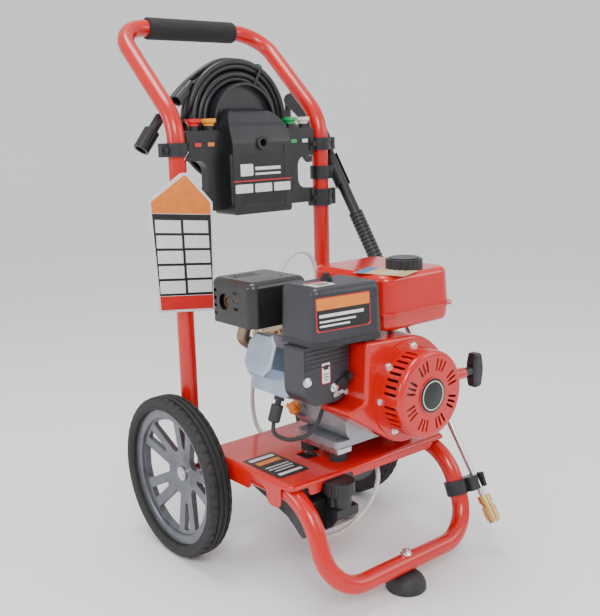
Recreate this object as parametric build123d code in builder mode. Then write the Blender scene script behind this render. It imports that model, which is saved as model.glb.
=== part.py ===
"""Petrol pressure washer on a two-wheeled tube frame.

Units are millimetres, +Z is up.  The origin is on the floor, under the centre of the front
rubber foot.  The machine faces -Y, its wheels are at the back and +X is its right-hand side
when it is looked at from the front.
"""

import os
from math import cos, pi, radians, sin, tan

from build123d import *

os.makedirs("parts", exist_ok=True)

# ---------------------------------------------------------------- driving dimensions

# Tube frame
TUBE_R = 16.0
TUBE_BORE = 14.2
POST_X = 169.0
POST_Y = 396.0
RAIL_Z = 195.0
LEG_KNEE_Y = 60.0
FRONT_BAR_Z = 47.0
HANDLE_JOINT_Z = 280.0
SHOULDER_Z = 799.0
HANDLE_Y = 591.0
HANDLE_Z = 978.0
GRIP_R = 21.0
GRIP_HALF = 102.0

# Deck plate
DECK_X = 188.0
DECK_Z = 214.0
DECK_FRONT = 76.0
DECK_REAR = 320.0
SHEET = 2.5
SKIRT_FLOOR = 168.0
FOLD_R = 8.0

# Wheels
WHEEL_R = 152.4
WHEEL_X = 215.0
AXLE_Y = 382.0
AXLE_Z = WHEEL_R
AXLE_R = 8.0
SPOKES = 5

# Running gap of a shaft in its hole
FIT = 0.05

# Console
WING_X = 150.0
WING_FRONT = 392.0
WING_REAR = 414.0
WING_LOW = 636.0
WING_TOP = 782.0
BULGE_X = 68.0
BULGE_FRONT = 366.0
BULGE_REAR = 430.0
BULGE_LOW = 626.0
SHELL = 3.0
CLAMP_BANDS = ((627.0, 660.0), (738.0, 762.0))
CLAMP_R = 22.0
NOZZLE_Y = 401.0
NOZZLE_STEM_R = 5.9
NOZZLE_SEAT_Z = 790.0
NOZZLE_SEAT_R = 8.6
NOZZLES = {"nozzle_red": -129.0, "nozzle_yellow": -95.0, "nozzle_green": 95.0, "nozzle_white": 129.0}

# High-pressure hose, coiled on the console's saddle
HOSE_R = 6.0
COIL_Z = 797.0
COIL_Y = 456.0
COIL_OUTER = 120.0
COIL_INNER = 72.0
SADDLE_R = 71.6

# Spray gun and lance: a line that leans back from the right-hand leg of the frame
GUN_X = 206.0
GUN_Y = 388.0
GUN_Z = 695.0
GUN_LEAN = (0.0, -0.552, -0.834)
LANCE_R = 6.5
LANCE_END = 712.0

# Engine: the crankshaft lies along Y
CRANK_X = 35.0
CRANK_Z = 345.0
CRANK_R = 10.0
ENGINE_BASE = 239.0
RECOIL_FACE = -26.0
RECOIL_R = 75.0
FLANGE_Y = 24.0
CYLINDER_TILT = 20.0
CYLINDER_Y = 163.0


# ---------------------------------------------------------------- small helpers

def turn_angle(a, b, c):
    """Angle in degrees by which a route turns at b."""
    before = Vector(*b) - Vector(*a)
    after = Vector(*c) - Vector(*b)
    return before.get_angle(after)


def bend_radii(points):
    """Largest even radii for a route: 0.45 of the shorter run over the tangent of half the turn."""
    radii = []
    for a, b, c in zip(points, points[1:], points[2:]):
        shorter = min((Vector(*b) - Vector(*a)).length, (Vector(*c) - Vector(*b)).length)
        radii.append(0.45 * shorter / tan(radians(turn_angle(a, b, c) / 2)))
    return radii


def report_route(name, points, radii, section, volume):
    """Print a cord's radii, its length and how its volume compares with section times length."""
    length = 0.0
    for a, b in zip(points, points[1:]):
        length += (Vector(*b) - Vector(*a)).length
    for a, b, c, radius in zip(points, points[1:], points[2:], radii):
        half = radians(turn_angle(a, b, c) / 2)
        length -= 2 * radius * (tan(half) - half)
    rounded = [round(radius) for radius in radii]
    print(f"{name}: radii {rounded}, length {length:.1f}, volume ratio {volume / (section * length):.4f}")


def rounded_face(corners, mode=Mode.ADD):
    """Face inside a list of (a, b, corner radius), for use inside a BuildSketch."""
    with BuildLine() as outline:
        FilletPolyline(*[(a, b) for a, b, r in corners], radius=[r for a, b, r in corners], close=True)
    make_face(outline.edges(), mode=mode)


def gun_plane(along):
    """Plane across the lance, at a distance along it; local +Y is its front and upper side."""
    origin = Vector(GUN_X, GUN_Y, GUN_Z) + Vector(*GUN_LEAN) * along
    return Plane(origin=origin, x_dir=(1, 0, 0), z_dir=GUN_LEAN)


# ---------------------------------------------------------------- tube frame

leg_points = [
    (-POST_X, POST_Y, HANDLE_JOINT_Z),
    (-POST_X, POST_Y, RAIL_Z),
    (-POST_X, LEG_KNEE_Y, RAIL_Z),
    (-POST_X, 0, FRONT_BAR_Z),
    (POST_X, 0, FRONT_BAR_Z),
    (POST_X, LEG_KNEE_Y, RAIL_Z),
    (POST_X, POST_Y, RAIL_Z),
    (POST_X, POST_Y, HANDLE_JOINT_Z),
]
LEG_RADII = [60, 90, 70, 70, 90, 60]
PLATE_X = 149.0
PLATE_THICK = 5.5
SPIGOT_R = 14.1
SPIGOT_TOP = 330.0
STUD_HOLE_R = 4.2

with BuildPart() as lower_frame:
    with BuildLine():
        FilletPolyline(*leg_points, radius=LEG_RADII)
    with BuildSketch(Plane(origin=leg_points[0], z_dir=(0, 0, -1))):
        Circle(TUBE_R)
        Circle(TUBE_BORE, mode=Mode.SUBTRACT)
    sweep()
    # Swaged spigots that enter the handle tubes
    for side in (-1, 1):
        with BuildSketch(Plane(origin=(side * POST_X, POST_Y, HANDLE_JOINT_Z - 12))):
            Circle(TUBE_BORE + 0.4)
            Circle(SPIGOT_R - TUBE_R + TUBE_BORE, mode=Mode.SUBTRACT)
        extrude(amount=12)
        with BuildSketch(Plane(origin=(side * POST_X, POST_Y, HANDLE_JOINT_Z))):
            Circle(SPIGOT_R)
            Circle(SPIGOT_R - TUBE_R + TUBE_BORE, mode=Mode.SUBTRACT)
        extrude(amount=SPIGOT_TOP - HANDLE_JOINT_Z)
    # Axle plates welded to the inner side of the two rear bends
    for side in (-1, 1):
        with BuildSketch(Plane.YZ.offset(side * PLATE_X)):
            with Locations((AXLE_Y, AXLE_Z)):
                Circle(22)
            with Locations((376, 218)):
                Circle(26)
            make_hull()
            with Locations((AXLE_Y, AXLE_Z)):
                Circle(AXLE_R + FIT, mode=Mode.SUBTRACT)
        extrude(amount=side * PLATE_THICK)
    # Hole for the stud of the rubber foot
    with Locations((0, 0, FRONT_BAR_Z)):
        Cylinder(STUD_HOLE_R, 2 * TUBE_R + 8, mode=Mode.SUBTRACT)

lower_frame.part.label = "lower_frame"
export_step(lower_frame.part, "parts/lower_frame.step")

handle_points = [
    (-POST_X, POST_Y, HANDLE_JOINT_Z),
    (-POST_X, POST_Y, SHOULDER_Z),
    (-POST_X, HANDLE_Y, HANDLE_Z),
    (POST_X, HANDLE_Y, HANDLE_Z),
    (POST_X, POST_Y, SHOULDER_Z),
    (POST_X, POST_Y, HANDLE_JOINT_Z),
]
HANDLE_RADII = [90, 66, 66, 90]

with BuildPart() as handle_frame:
    with BuildLine():
        FilletPolyline(*handle_points, radius=HANDLE_RADII)
    with BuildSketch(Plane(origin=handle_points[0], z_dir=(0, 0, 1))):
        Circle(TUBE_R)
        Circle(TUBE_BORE, mode=Mode.SUBTRACT)
    sweep()

handle_frame.part.label = "handle_frame"
export_step(handle_frame.part, "parts/handle_frame.step")

with BuildPart() as handle_grip:
    with BuildSketch(Plane.YZ.offset(-GRIP_HALF)):
        with Locations((HANDLE_Y, HANDLE_Z)):
            Circle(GRIP_R)
            Circle(TUBE_R + FIT, mode=Mode.SUBTRACT)
    extrude(amount=2 * GRIP_HALF)
    fillet(handle_grip.edges().filter_by(GeomType.CIRCLE).group_by(SortBy.RADIUS)[-1], 3.5)

handle_grip.part.label = "handle_grip"
export_step(handle_grip.part, "parts/handle_grip.step")


# ---------------------------------------------------------------- deck plate

# Lower edge of a side skirt, from the open front corner to the rear, with corner radii
SIDE_EDGE = [
    (60, 150, 0), (60, 206, 0), (104, 206, 6), (104, SKIRT_FLOOR, 14), (142, SKIRT_FLOOR, 14),
    (142, 197, 14), (188, 197, 10), (188, 178, 8), (330, 178, 0), (330, 150, 0),
]
# Lower edge of the front skirt: a tab, an arch that clears the detergent cap, then the long side
FRONT_EDGE = [
    (-195, 150, 0), (-195, 206, 0), (-150, 206, 6), (-150, 190, 8), (-122, 190, 7),
    (-122, 206, 8), (-50, 206, 8), (-50, 196, 2), (150, 196, 8), (150, 206, 2),
    (195, 206, 0), (195, 150, 0),
]
MOUNT_X = (-46.0, 116.0)
MOUNT_Y = (118.0, 194.0)
MOUNT_HOLE_R = 4.2

with BuildPart() as deck:
    with BuildSketch(Plane.XY.offset(SKIRT_FLOOR)):
        with Locations((0, (DECK_FRONT + DECK_REAR) / 2)):
            Rectangle(2 * DECK_X, DECK_REAR - DECK_FRONT)
    extrude(amount=DECK_Z - SKIRT_FLOOR)
    fillet(deck.edges().filter_by(Axis.Z).group_by(Axis.Y)[0], FOLD_R + 4)
    fillet(deck.faces().sort_by(Axis.Z)[-1].edges().sort_by(Axis.Y)[:-1], FOLD_R)
    underside = deck.faces().sort_by(Axis.Z)[0]
    back = deck.faces().sort_by(Axis.Y)[-1]
    offset(amount=-SHEET, openings=[underside, back])
    for side in (-1, 1):
        with BuildSketch(Plane.YZ.offset(side * (DECK_X - 30))):
            rounded_face(SIDE_EDGE)
        extrude(amount=side * 40, mode=Mode.SUBTRACT)
    with BuildSketch(Plane.XZ.offset(-DECK_FRONT - 20)):
        rounded_face(FRONT_EDGE)
    extrude(amount=40, mode=Mode.SUBTRACT)
    # Slot and engine mounting holes through the plate
    with BuildSketch(Plane.XY.offset(DECK_Z)):
        with Locations((-68, 172)):
            RectangleRounded(35, 35, 4)
        for x in MOUNT_X:
            for y in MOUNT_Y:
                with Locations((x, y)):
                    Circle(MOUNT_HOLE_R)
    extrude(amount=-20, mode=Mode.SUBTRACT)

deck.part.label = "deck"
export_step(deck.part, "parts/deck.step")


# ---------------------------------------------------------------- foot

FOOT_R = 35.0
STUD_FOOT_Z = 12.0

with BuildPart() as rubber_foot:
    with BuildSketch(Plane.XZ):
        with BuildLine():
            foot_top = FRONT_BAR_Z - TUBE_R - 0.1
            Polyline((0, foot_top), (0, 0), (FOOT_R - 2, 0), (FOOT_R, 2), (FOOT_R, 8))
            ThreePointArc((FOOT_R, 8), (29, 22), (13, foot_top))
            Line((13, foot_top), (0, foot_top))
        make_face()
    revolve(axis=Axis.Z)
    with BuildSketch(Plane.XY.offset(STUD_FOOT_Z)):
        Circle(STUD_HOLE_R)
    extrude(amount=40, mode=Mode.SUBTRACT)

rubber_foot.part.label = "rubber_foot"
export_step(rubber_foot.part, "parts/rubber_foot.step")

bar_top = FRONT_BAR_Z + TUBE_R

with BuildPart() as foot_bolt:
    with Locations((0, 0, STUD_FOOT_Z)):
        Cylinder(4, bar_top + 6 - STUD_FOOT_Z, align=(Align.CENTER, Align.CENTER, Align.MIN))
    with Locations((0, 0, bar_top + 0.1)):
        Cylinder(10, 1.6, align=(Align.CENTER, Align.CENTER, Align.MIN))
    with BuildSketch(Plane.XY.offset(bar_top + 1.7)):
        RegularPolygon(7.5, 6)
    extrude(amount=5.5)
    with Locations((0, 0, bar_top + 6)):
        Sphere(6, arc_size1=0)

foot_bolt.part.label = "foot_bolt"
export_step(foot_bolt.part, "parts/foot_bolt.step")


# ---------------------------------------------------------------- axle and wheels

HUB_INNER_X = 191.0
HUB_OUTER_X = 201.0
HUB_R = 24.0
SPACER_R = 12.0
CLIP_R = 13.0

with BuildPart() as axle:
    rod_half = HUB_OUTER_X + 5
    with BuildSketch(Plane.YZ.offset(-rod_half)):
        with Locations((AXLE_Y, AXLE_Z)):
            Circle(AXLE_R)
    extrude(amount=2 * rod_half)
    # Spacer sleeves between the plates and the hubs, and push-on end caps
    for side in (-1, 1):
        sleeve_start = PLATE_X + PLATE_THICK + 0.1
        with BuildSketch(Plane.YZ.offset(side * sleeve_start)):
            with Locations((AXLE_Y, AXLE_Z)):
                Circle(SPACER_R)
                Circle(AXLE_R + FIT, mode=Mode.SUBTRACT)
        extrude(amount=side * (HUB_INNER_X - 0.35 - sleeve_start))
        with BuildSketch(Plane.YZ.offset(side * (HUB_OUTER_X + 0.35))):
            with Locations((AXLE_Y, AXLE_Z)):
                Circle(CLIP_R)
                Circle(AXLE_R + FIT, mode=Mode.SUBTRACT)
        extrude(amount=side * 4)

axle.part.label = "axle"
export_step(axle.part, "parts/axle.step")

# Half section of the rim: (distance outboard of the wheel's middle plane, radius)
RIM_BARREL = [
    (-12, 128), (-12, 113), (-10, 111), (10, 111), (12, 113), (12, 128), (9, 128), (9, 116),
    (-9, 116), (-9, 128),
]
RIM_DISC = [(-24, AXLE_R + FIT), (-14, AXLE_R + FIT), (-14, HUB_R), (5, 112), (-4, 112), (-24, HUB_R + 6)]
TREAD_HALF = 18.0
BULGE_HALF = 23.5
BEAD_HALF = 8.7
BEAD_R = 116.3

for side, word in ((-1, "left"), (1, "right")):
    centre = (side * WHEEL_X, AXLE_Y, AXLE_Z)
    across = Plane(origin=centre, x_dir=(side, 0, 0), z_dir=(0, -1, 0))
    face_on = Plane(origin=centre, x_dir=(0, 1, 0), z_dir=(side, 0, 0))
    wheel_axis = Axis(centre, (1, 0, 0))

    with BuildPart() as rim:
        with BuildSketch(across):
            Polygon(*RIM_BARREL, align=None)
        revolve(axis=wheel_axis)
        with BuildSketch(across):
            Polygon(*RIM_DISC, align=None)
        revolve(axis=wheel_axis)
        # Big windows between the spokes, and the slot that forks each spoke
        with BuildSketch(face_on.offset(-40)) as windows:
            with PolarLocations(0, SPOKES):
                Polygon((42, -7), (104, -38), (107, 0), (104, 38), (42, 7), align=None)
            fillet(windows.vertices(), 5)
        extrude(amount=80, mode=Mode.SUBTRACT)
        with BuildSketch(face_on.offset(-40)) as slots:
            with PolarLocations(0, SPOKES, start_angle=180 / SPOKES):
                Polygon((56, -3.5), (104, -11), (104, 11), (56, 3.5), align=None)
            fillet(slots.vertices(), 3)
        extrude(amount=80, mode=Mode.SUBTRACT)

    rim.part.label = f"{word}_rim"
    export_step(rim.part, f"parts/{word}_rim.step")

    with BuildPart() as tyre:
        with BuildSketch(across):
            with BuildLine():
                Polyline((-TREAD_HALF, WHEEL_R - 3), (-TREAD_HALF + 6, WHEEL_R), (TREAD_HALF - 6, WHEEL_R),
                         (TREAD_HALF, WHEEL_R - 3))
                ThreePointArc((TREAD_HALF, WHEEL_R - 3), (BULGE_HALF, 141), (17, 129.5))
                Polyline((17, 129.5), (BEAD_HALF, 128.6), (BEAD_HALF, BEAD_R), (-BEAD_HALF, BEAD_R),
                         (-BEAD_HALF, 128.6), (-17, 129.5))
                ThreePointArc((-17, 129.5), (-BULGE_HALF, 141), (-TREAD_HALF, WHEEL_R - 3))
            make_face()
        revolve(axis=wheel_axis)

    tyre.part.label = f"{word}_tyre"
    export_step(tyre.part, f"parts/{word}_tyre.step")


# ---------------------------------------------------------------- console

# Side profile (y, z, corner radius) and front outline (x, z, corner radius) of the centre bulge
BULGE_SIDE = [
    (BULGE_REAR, BULGE_LOW, 0), (BULGE_FRONT, BULGE_LOW, 3), (BULGE_FRONT, 760, 20),
    (378, 792, 20), (402, 816, 20), (BULGE_REAR, 822, 0),
]
BULGE_OUTLINE = [(-BULGE_X, BULGE_LOW, 6), (-BULGE_X, 823, 47), (BULGE_X, 823, 47), (BULGE_X, BULGE_LOW, 6)]
NOTCH_X = 107.0
NOTCH_LOW = 664.0
NOTCH_TOP = 728.0
WING_OUTLINE = [
    (-WING_X, WING_LOW, 4), (-WING_X, NOTCH_LOW, 4), (-NOTCH_X, NOTCH_LOW, 20), (-NOTCH_X, NOTCH_TOP, 20),
    (-WING_X, NOTCH_TOP, 4), (-WING_X, WING_TOP, 6), (WING_X, WING_TOP, 6), (WING_X, NOTCH_TOP, 4),
    (NOTCH_X, NOTCH_TOP, 20), (NOTCH_X, NOTCH_LOW, 20), (WING_X, NOTCH_LOW, 4), (WING_X, WING_LOW, 4),
]
CLAMP_SCREWS_X = (146.0, 196.0)
EAR_FRONT = 389.5
EAR_REAR = 401.0
EAR_SPANS = ((139.0, 156.0), (182.0, 204.0))
SOCKET_Z = 757.0
SOCKET_R = 7.0
SOCKET_FACE = 362.0
SADDLE_REAR = 486.0


def bulge_block(inset):
    """The centre bulge as a solid, drawn in on every side by the inset."""
    with BuildPart() as block:
        with BuildSketch(Plane.YZ):
            rounded_face(BULGE_SIDE)
            if inset:
                offset(amount=-inset, kind=Kind.INTERSECTION)
        extrude(amount=BULGE_X + 10, both=True)
        with BuildSketch(Plane.XZ.offset(-BULGE_REAR - 10)):
            rounded_face(BULGE_OUTLINE)
            if inset:
                offset(amount=-inset, kind=Kind.INTERSECTION)
        extrude(amount=100, mode=Mode.INTERSECT)
    return block.part


def wing_block(inset, depth):
    """The flat wing panel as a solid, drawn in by the inset, measured forward from its rear edge."""
    with BuildPart() as block:
        with BuildSketch(Plane.XZ.offset(-WING_REAR)):
            rounded_face(WING_OUTLINE)
            if inset:
                offset(amount=-inset, kind=Kind.INTERSECTION)
        extrude(amount=depth)
    return block.part


def half_collars(ahead, band):
    """Front or rear halves of the two collars round the posts, with their screw ears, at one band."""
    low, high = band
    ear_near, ear_far = (EAR_FRONT, POST_Y - 0.3) if ahead else (POST_Y + 0.3, EAR_REAR)
    trim = POST_Y - 0.3 + 40 if ahead else POST_Y + 0.3 - 40
    with BuildPart() as halves:
        with BuildSketch(Plane.XY.offset(low)):
            with Locations((-POST_X, POST_Y), (POST_X, POST_Y)):
                Circle(CLAMP_R)
            with Locations((0, trim)):
                Rectangle(500, 80, mode=Mode.SUBTRACT)
            for inner, outer in EAR_SPANS:
                middle = (inner + outer) / 2
                with Locations((-middle, (ear_near + ear_far) / 2), (middle, (ear_near + ear_far) / 2)):
                    Rectangle(outer - inner, ear_far - ear_near)
            with Locations((-POST_X, POST_Y), (POST_X, POST_Y)):
                Circle(TUBE_R + 0.15, mode=Mode.SUBTRACT)
        extrude(amount=high - low)
        with BuildSketch(Plane.XZ.offset(-EAR_REAR - 10)):
            for x in CLAMP_SCREWS_X:
                with Locations((-x, (low + high) / 2), (x, (low + high) / 2)):
                    Circle(2.75)
        extrude(amount=40, mode=Mode.SUBTRACT)
    return halves.part


with BuildPart() as console:
    add(wing_block(0, WING_REAR - WING_FRONT))
    add(wing_block(SHELL, WING_REAR - WING_FRONT - SHELL), mode=Mode.SUBTRACT)
    add(bulge_block(0))
    add(bulge_block(SHELL), mode=Mode.SUBTRACT)
    # Open back of the bulge
    with BuildSketch(Plane.XZ.offset(-BULGE_REAR - 2)):
        with Locations((0, 698)):
            Rectangle(2 * (BULGE_X - SHELL), 136)
    extrude(amount=8, mode=Mode.SUBTRACT)
    # Shallow field for the label
    with BuildSketch(Plane.XZ.offset(-BULGE_FRONT - 1.2)):
        with Locations((0, 694)):
            RectangleRounded(104, 116, 3)
    extrude(amount=10, mode=Mode.SUBTRACT)
    # Saddle for the hose: an arch, its back plate and its end lip
    with BuildSketch(Plane.XZ.offset(-SADDLE_REAR + 2)):
        with Locations((0, COIL_Z)):
            Circle(SADDLE_R)
            Circle(SADDLE_R - 4.6, mode=Mode.SUBTRACT)
            with Locations((0, -80)):
                Rectangle(200, 100, mode=Mode.SUBTRACT)
    extrude(amount=SADDLE_REAR - 2 - WING_REAR)
    with BuildSketch(Plane.XZ.offset(-BULGE_REAR)):
        with Locations((0, COIL_Z)):
            Circle(SADDLE_R - 2)
            with Locations((0, -80)):
                Rectangle(200, 100, mode=Mode.SUBTRACT)
    extrude(amount=SHELL)
    with BuildSketch(Plane.XZ.offset(-SADDLE_REAR)):
        with Locations((0, COIL_Z)):
            Circle(SADDLE_R + 12)
            Circle(SADDLE_R - 2.5, mode=Mode.SUBTRACT)
            with Locations((0, -50)):
                Rectangle(200, 100, mode=Mode.SUBTRACT)
    extrude(amount=4)
    # Seats for the spray nozzles
    with BuildSketch(Plane.XY.offset(752)):
        with Locations(*[(x, NOZZLE_Y) for x in NOZZLES.values()]):
            Circle(NOZZLE_SEAT_R)
    extrude(amount=NOZZLE_SEAT_Z - 752)
    # Socket for the spare nozzle in the front of the bulge
    with BuildSketch(Plane.XZ.offset(-SOCKET_FACE - 28)):
        with Locations((0, SOCKET_Z)):
            Circle(13)
    extrude(amount=28)
    # Clearance for the rear collars and their inner ears
    for low, high in CLAMP_BANDS:
        for side in (-1, 1):
            with Locations((side * (EAR_SPANS[0][0] - 0.5 + 20), POST_Y + 20, (low + high) / 2)):
                Box(40, 40, high - low + 1, mode=Mode.SUBTRACT)
    for band in CLAMP_BANDS:
        add(half_collars(True, band))
    with BuildSketch(Plane.XZ.offset(-EAR_REAR - 10)):
        for low, high in CLAMP_BANDS:
            with Locations(*[(side * CLAMP_SCREWS_X[0], (low + high) / 2) for side in (-1, 1)]):
                Circle(2.75)
    extrude(amount=40, mode=Mode.SUBTRACT)
    # Pockets beside the collars for the inner screws' heads
    with BuildSketch(Plane.XZ.offset(-EAR_FRONT + 0.05)):
        for low, high in CLAMP_BANDS:
            with Locations(*[(side * CLAMP_SCREWS_X[0], (low + high) / 2) for side in (-1, 1)]):
                Circle(4.7)
    extrude(amount=4.5, mode=Mode.SUBTRACT)
    # Bores
    with BuildSketch(Plane.XY.offset(NOZZLE_SEAT_Z)):
        with Locations(*[(x, NOZZLE_Y) for x in NOZZLES.values()]):
            Circle(NOZZLE_STEM_R + 0.1)
    extrude(amount=-34, mode=Mode.SUBTRACT)
    with BuildSketch(Plane.XZ.offset(-SOCKET_FACE)):
        with Locations((0, SOCKET_Z)):
            Circle(SOCKET_R)
    extrude(amount=-25, mode=Mode.SUBTRACT)

console.part.label = "console"
export_step(console.part, "parts/console.step")

with BuildPart() as console_clamps:
    for band in CLAMP_BANDS:
        add(half_collars(False, band))
    # Clamping screws with their heads and nuts
    for low, high in CLAMP_BANDS:
        spots = [(side * x, (low + high) / 2) for side in (-1, 1) for x in CLAMP_SCREWS_X]
        for radius, start, length in (
            (4.4, EAR_FRONT - 4.1, 4), (2.5, EAR_FRONT - 4.1, 19.6), (4.4, EAR_REAR + 0.1, 3)
        ):
            with BuildSketch(Plane.XZ.offset(-start - length)):
                with Locations(*spots):
                    Circle(radius)
            extrude(amount=length)

console_clamps.part.label = "console_clamps"
export_step(console_clamps.part, "parts/console_clamps.step")

# Half section of a quick-change nozzle: (radius, z)
NOZZLE_SECTION = [
    (0, 757.5), (5.2, 757.5), (NOZZLE_STEM_R, 759), (NOZZLE_STEM_R, 768), (5, 769), (5, 772),
    (NOZZLE_STEM_R, 773), (NOZZLE_STEM_R, NOZZLE_SEAT_Z + 0.3), (10, NOZZLE_SEAT_Z + 0.3),
    (10, 793), (14, 797), (14, 803), (12, 803), (8, 797), (0, 797),
]

for name, x in NOZZLES.items():
    with BuildPart() as nozzle:
        with BuildSketch(Plane(origin=(x, NOZZLE_Y, 0), x_dir=(1, 0, 0), z_dir=(0, -1, 0))):
            Polygon(*NOZZLE_SECTION, align=None)
        revolve(axis=Axis((x, NOZZLE_Y, 0), (0, 0, 1)))

    nozzle.part.label = name
    export_step(nozzle.part, f"parts/{name}.step")


# ---------------------------------------------------------------- high-pressure hose

with BuildPart() as hose_coil:
    with BuildSketch(Plane.YZ):
        with Locations((COIL_Y, COIL_Z + (COIL_OUTER + COIL_INNER) / 2)):
            RectangleRounded(48, COIL_OUTER - COIL_INNER, 16)
    revolve(axis=Axis((0, COIL_Y, COIL_Z), (0, 1, 0)))

hose_coil.part.label = "hose_coil"
export_step(hose_coil.part, "parts/hose_coil.step")

tail_points = [(-80, 462, 883.5), (-109, 466, 860), (-136, 466, 834), (-160, 463, 806)]
tail_radii = bend_radii(tail_points)

with BuildPart() as hose_tail:
    with BuildLine() as tail_line:
        FilletPolyline(*tail_points, radius=tail_radii)
    with BuildSketch(Plane(origin=tail_line.line @ 0, z_dir=tail_line.line % 0)):
        Circle(HOSE_R)
    sweep()

hose_tail.part.label = "hose_tail"
export_step(hose_tail.part, "parts/hose_tail.step")
report_route("hose_tail", tail_points, tail_radii, pi * HOSE_R ** 2, hose_tail.part.volume)

# Two identical screw connectors: (start, direction, grip radius, start and end of the grip)
CONNECTORS = (
    ((-160, 463, 806), (-0.621, -0.040, -0.783), 15.0, 29, 71),
    ((-99, 450, 866), (-0.759, -0.217, -0.614), 11.5, 20, 50),
)

with BuildPart() as hose_connectors:
    for start, direction, grip_r, grip_from, grip_to in CONNECTORS:
        base = Plane(origin=start, x_dir=(0, 1, 0), z_dir=direction)
        with BuildSketch(base.offset(-3)):
            Circle(0.63 * grip_r)
        extrude(amount=grip_from + 6)
        with BuildSketch(base.offset(grip_from)):
            Circle(grip_r)
            with PolarLocations(grip_r + 0.5, 12):
                Circle(1.6, mode=Mode.SUBTRACT)
        extrude(amount=grip_to - grip_from)
        with BuildSketch(base.offset(grip_to)):
            Circle(0.72 * grip_r)
        extrude(amount=-14, mode=Mode.SUBTRACT)

hose_connectors.part.label = "hose_connectors"
export_step(hose_connectors.part, "parts/hose_connectors.step")


# ---------------------------------------------------------------- spray gun and lance

# Side profile plane of the gun: local X runs down the lance, local Y to its front and upper side
gun_side = Plane(origin=(GUN_X, GUN_Y, GUN_Z), x_dir=GUN_LEAN, z_dir=(-1, 0, 0))
GUN_OUTLINE = [
    (-45, 13, 4), (-118, 13, 25), (-203, -14, 12), (-212, -42, 12), (-198, -48, 8),
    (-122, -17, 18), (-45, -13, 4),
]
GUARD_OUTER = [(-54, -8, 2), (-56, -64, 14), (-150, -90, 20), (-211, -43, 4), (-190, -34, 2)]
GUARD_INNER = [(-63, -18, 4), (-64, -58, 9), (-149, -82, 14), (-196, -50, 3), (-122, -19, 14)]
TRIGGER_PIVOT = (-80, -22)
TRIGGER_OUTLINE = [
    (-72, -20, 4), (-84, -20, 3), (-96, -27, 12), (-132, -44, 20), (-158, -60, 3), (-157, -67, 3),
    (-128, -58, 20), (-90, -36, 12), (-72, -30, 4),
]
LOCK_PIVOT = (-104, -38)
LOCK_OUTLINE = [(-100.5, -35, 3), (-107, -34, 3), (-116.5, -41.5, 2), (-115, -45.5, 2), (-101, -41.5, 3)]

with BuildPart() as gun_body:
    with BuildSketch(gun_side):
        rounded_face(GUN_OUTLINE)
    extrude(amount=14, both=True)
    fillet(gun_body.faces().filter_by(Axis.X).edges(), 4)
    with BuildSketch(gun_side):
        rounded_face(GUARD_OUTER)
        rounded_face(GUARD_INNER, Mode.SUBTRACT)
    extrude(amount=7, both=True)
    # Room for the trigger's root, and its pin
    with BuildSketch(gun_side):
        with Locations((-80, -22)):
            Circle(4.5)
    extrude(amount=9, both=True)
    with BuildSketch(gun_side):
        with Locations((-82, -26)):
            Rectangle(44, 20)
    extrude(amount=5.4, both=True, mode=Mode.SUBTRACT)
    with BuildSketch(gun_side):
        with Locations(TRIGGER_PIVOT):
            Circle(2)
    extrude(amount=8, both=True)

gun_body.part.label = "gun_body"
export_step(gun_body.part, "parts/gun_body.step")

with BuildPart() as gun_trigger:
    with BuildSketch(gun_side):
        rounded_face(TRIGGER_OUTLINE)
        with Locations(TRIGGER_PIVOT):
            Circle(2 + FIT, mode=Mode.SUBTRACT)
    extrude(amount=5, both=True)
    # Slot that the lock lever folds into
    with BuildSketch(gun_side):
        with Locations((-108.5, -39.5)):
            Rectangle(22, 26)
    extrude(amount=2.4, both=True, mode=Mode.SUBTRACT)
    with BuildSketch(gun_side):
        with Locations(LOCK_PIVOT):
            Circle(1.2)
    extrude(amount=4.5, both=True)

gun_trigger.part.label = "gun_trigger"
export_step(gun_trigger.part, "parts/gun_trigger.step")

with BuildPart() as trigger_lock:
    with BuildSketch(gun_side):
        rounded_face(LOCK_OUTLINE)
        with Locations(LOCK_PIVOT):
            Circle(1.2 + FIT, mode=Mode.SUBTRACT)
    extrude(amount=2, both=True)

trigger_lock.part.label = "trigger_lock"
export_step(trigger_lock.part, "parts/trigger_lock.step")

SLEEVE_R = 11.0
RIDGE_R = 14.5
RIDGE_ROOT = 12.6
RIDGES = 14
RIDGE_START = 100.0
SLEEVE_END = 215.0

lance_section = Plane(origin=(GUN_X, GUN_Y, GUN_Z), x_dir=(1, 0, 0), z_dir=gun_plane(0).y_dir * -1)
lance_axis = Axis((GUN_X, GUN_Y, GUN_Z), GUN_LEAN)

with BuildPart() as lance_sleeve:
    pitch = (SLEEVE_END - RIDGE_START) / RIDGES
    section = [(LANCE_R + FIT, -44.9), (SLEEVE_R, -44.9), (SLEEVE_R, RIDGE_START)]
    for ridge in range(RIDGES):
        start = RIDGE_START + ridge * pitch
        section += [(RIDGE_R, start + 1), (RIDGE_R, start + 0.6 * pitch), (RIDGE_ROOT, start + 0.72 * pitch),
                    (RIDGE_ROOT, start + pitch)]
    section.append((LANCE_R + FIT, SLEEVE_END))
    with BuildSketch(lance_section):
        Polygon(*section, align=None)
    revolve(axis=lance_axis)

lance_sleeve.part.label = "lance_sleeve"
export_step(lance_sleeve.part, "parts/lance_sleeve.step")

with BuildPart() as lance_tube:
    with BuildSketch(gun_plane(-44.9)):
        Circle(LANCE_R)
        Circle(LANCE_R - 1.5, mode=Mode.SUBTRACT)
    extrude(amount=LANCE_END + 44.9)

lance_tube.part.label = "lance_tube"
export_step(lance_tube.part, "parts/lance_tube.step")

COUPLER_R = 10.0
COUPLER_END = 755.0
SOCKET_BORE_R = 6.0
SOCKET_DEPTH = 15.0

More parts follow.
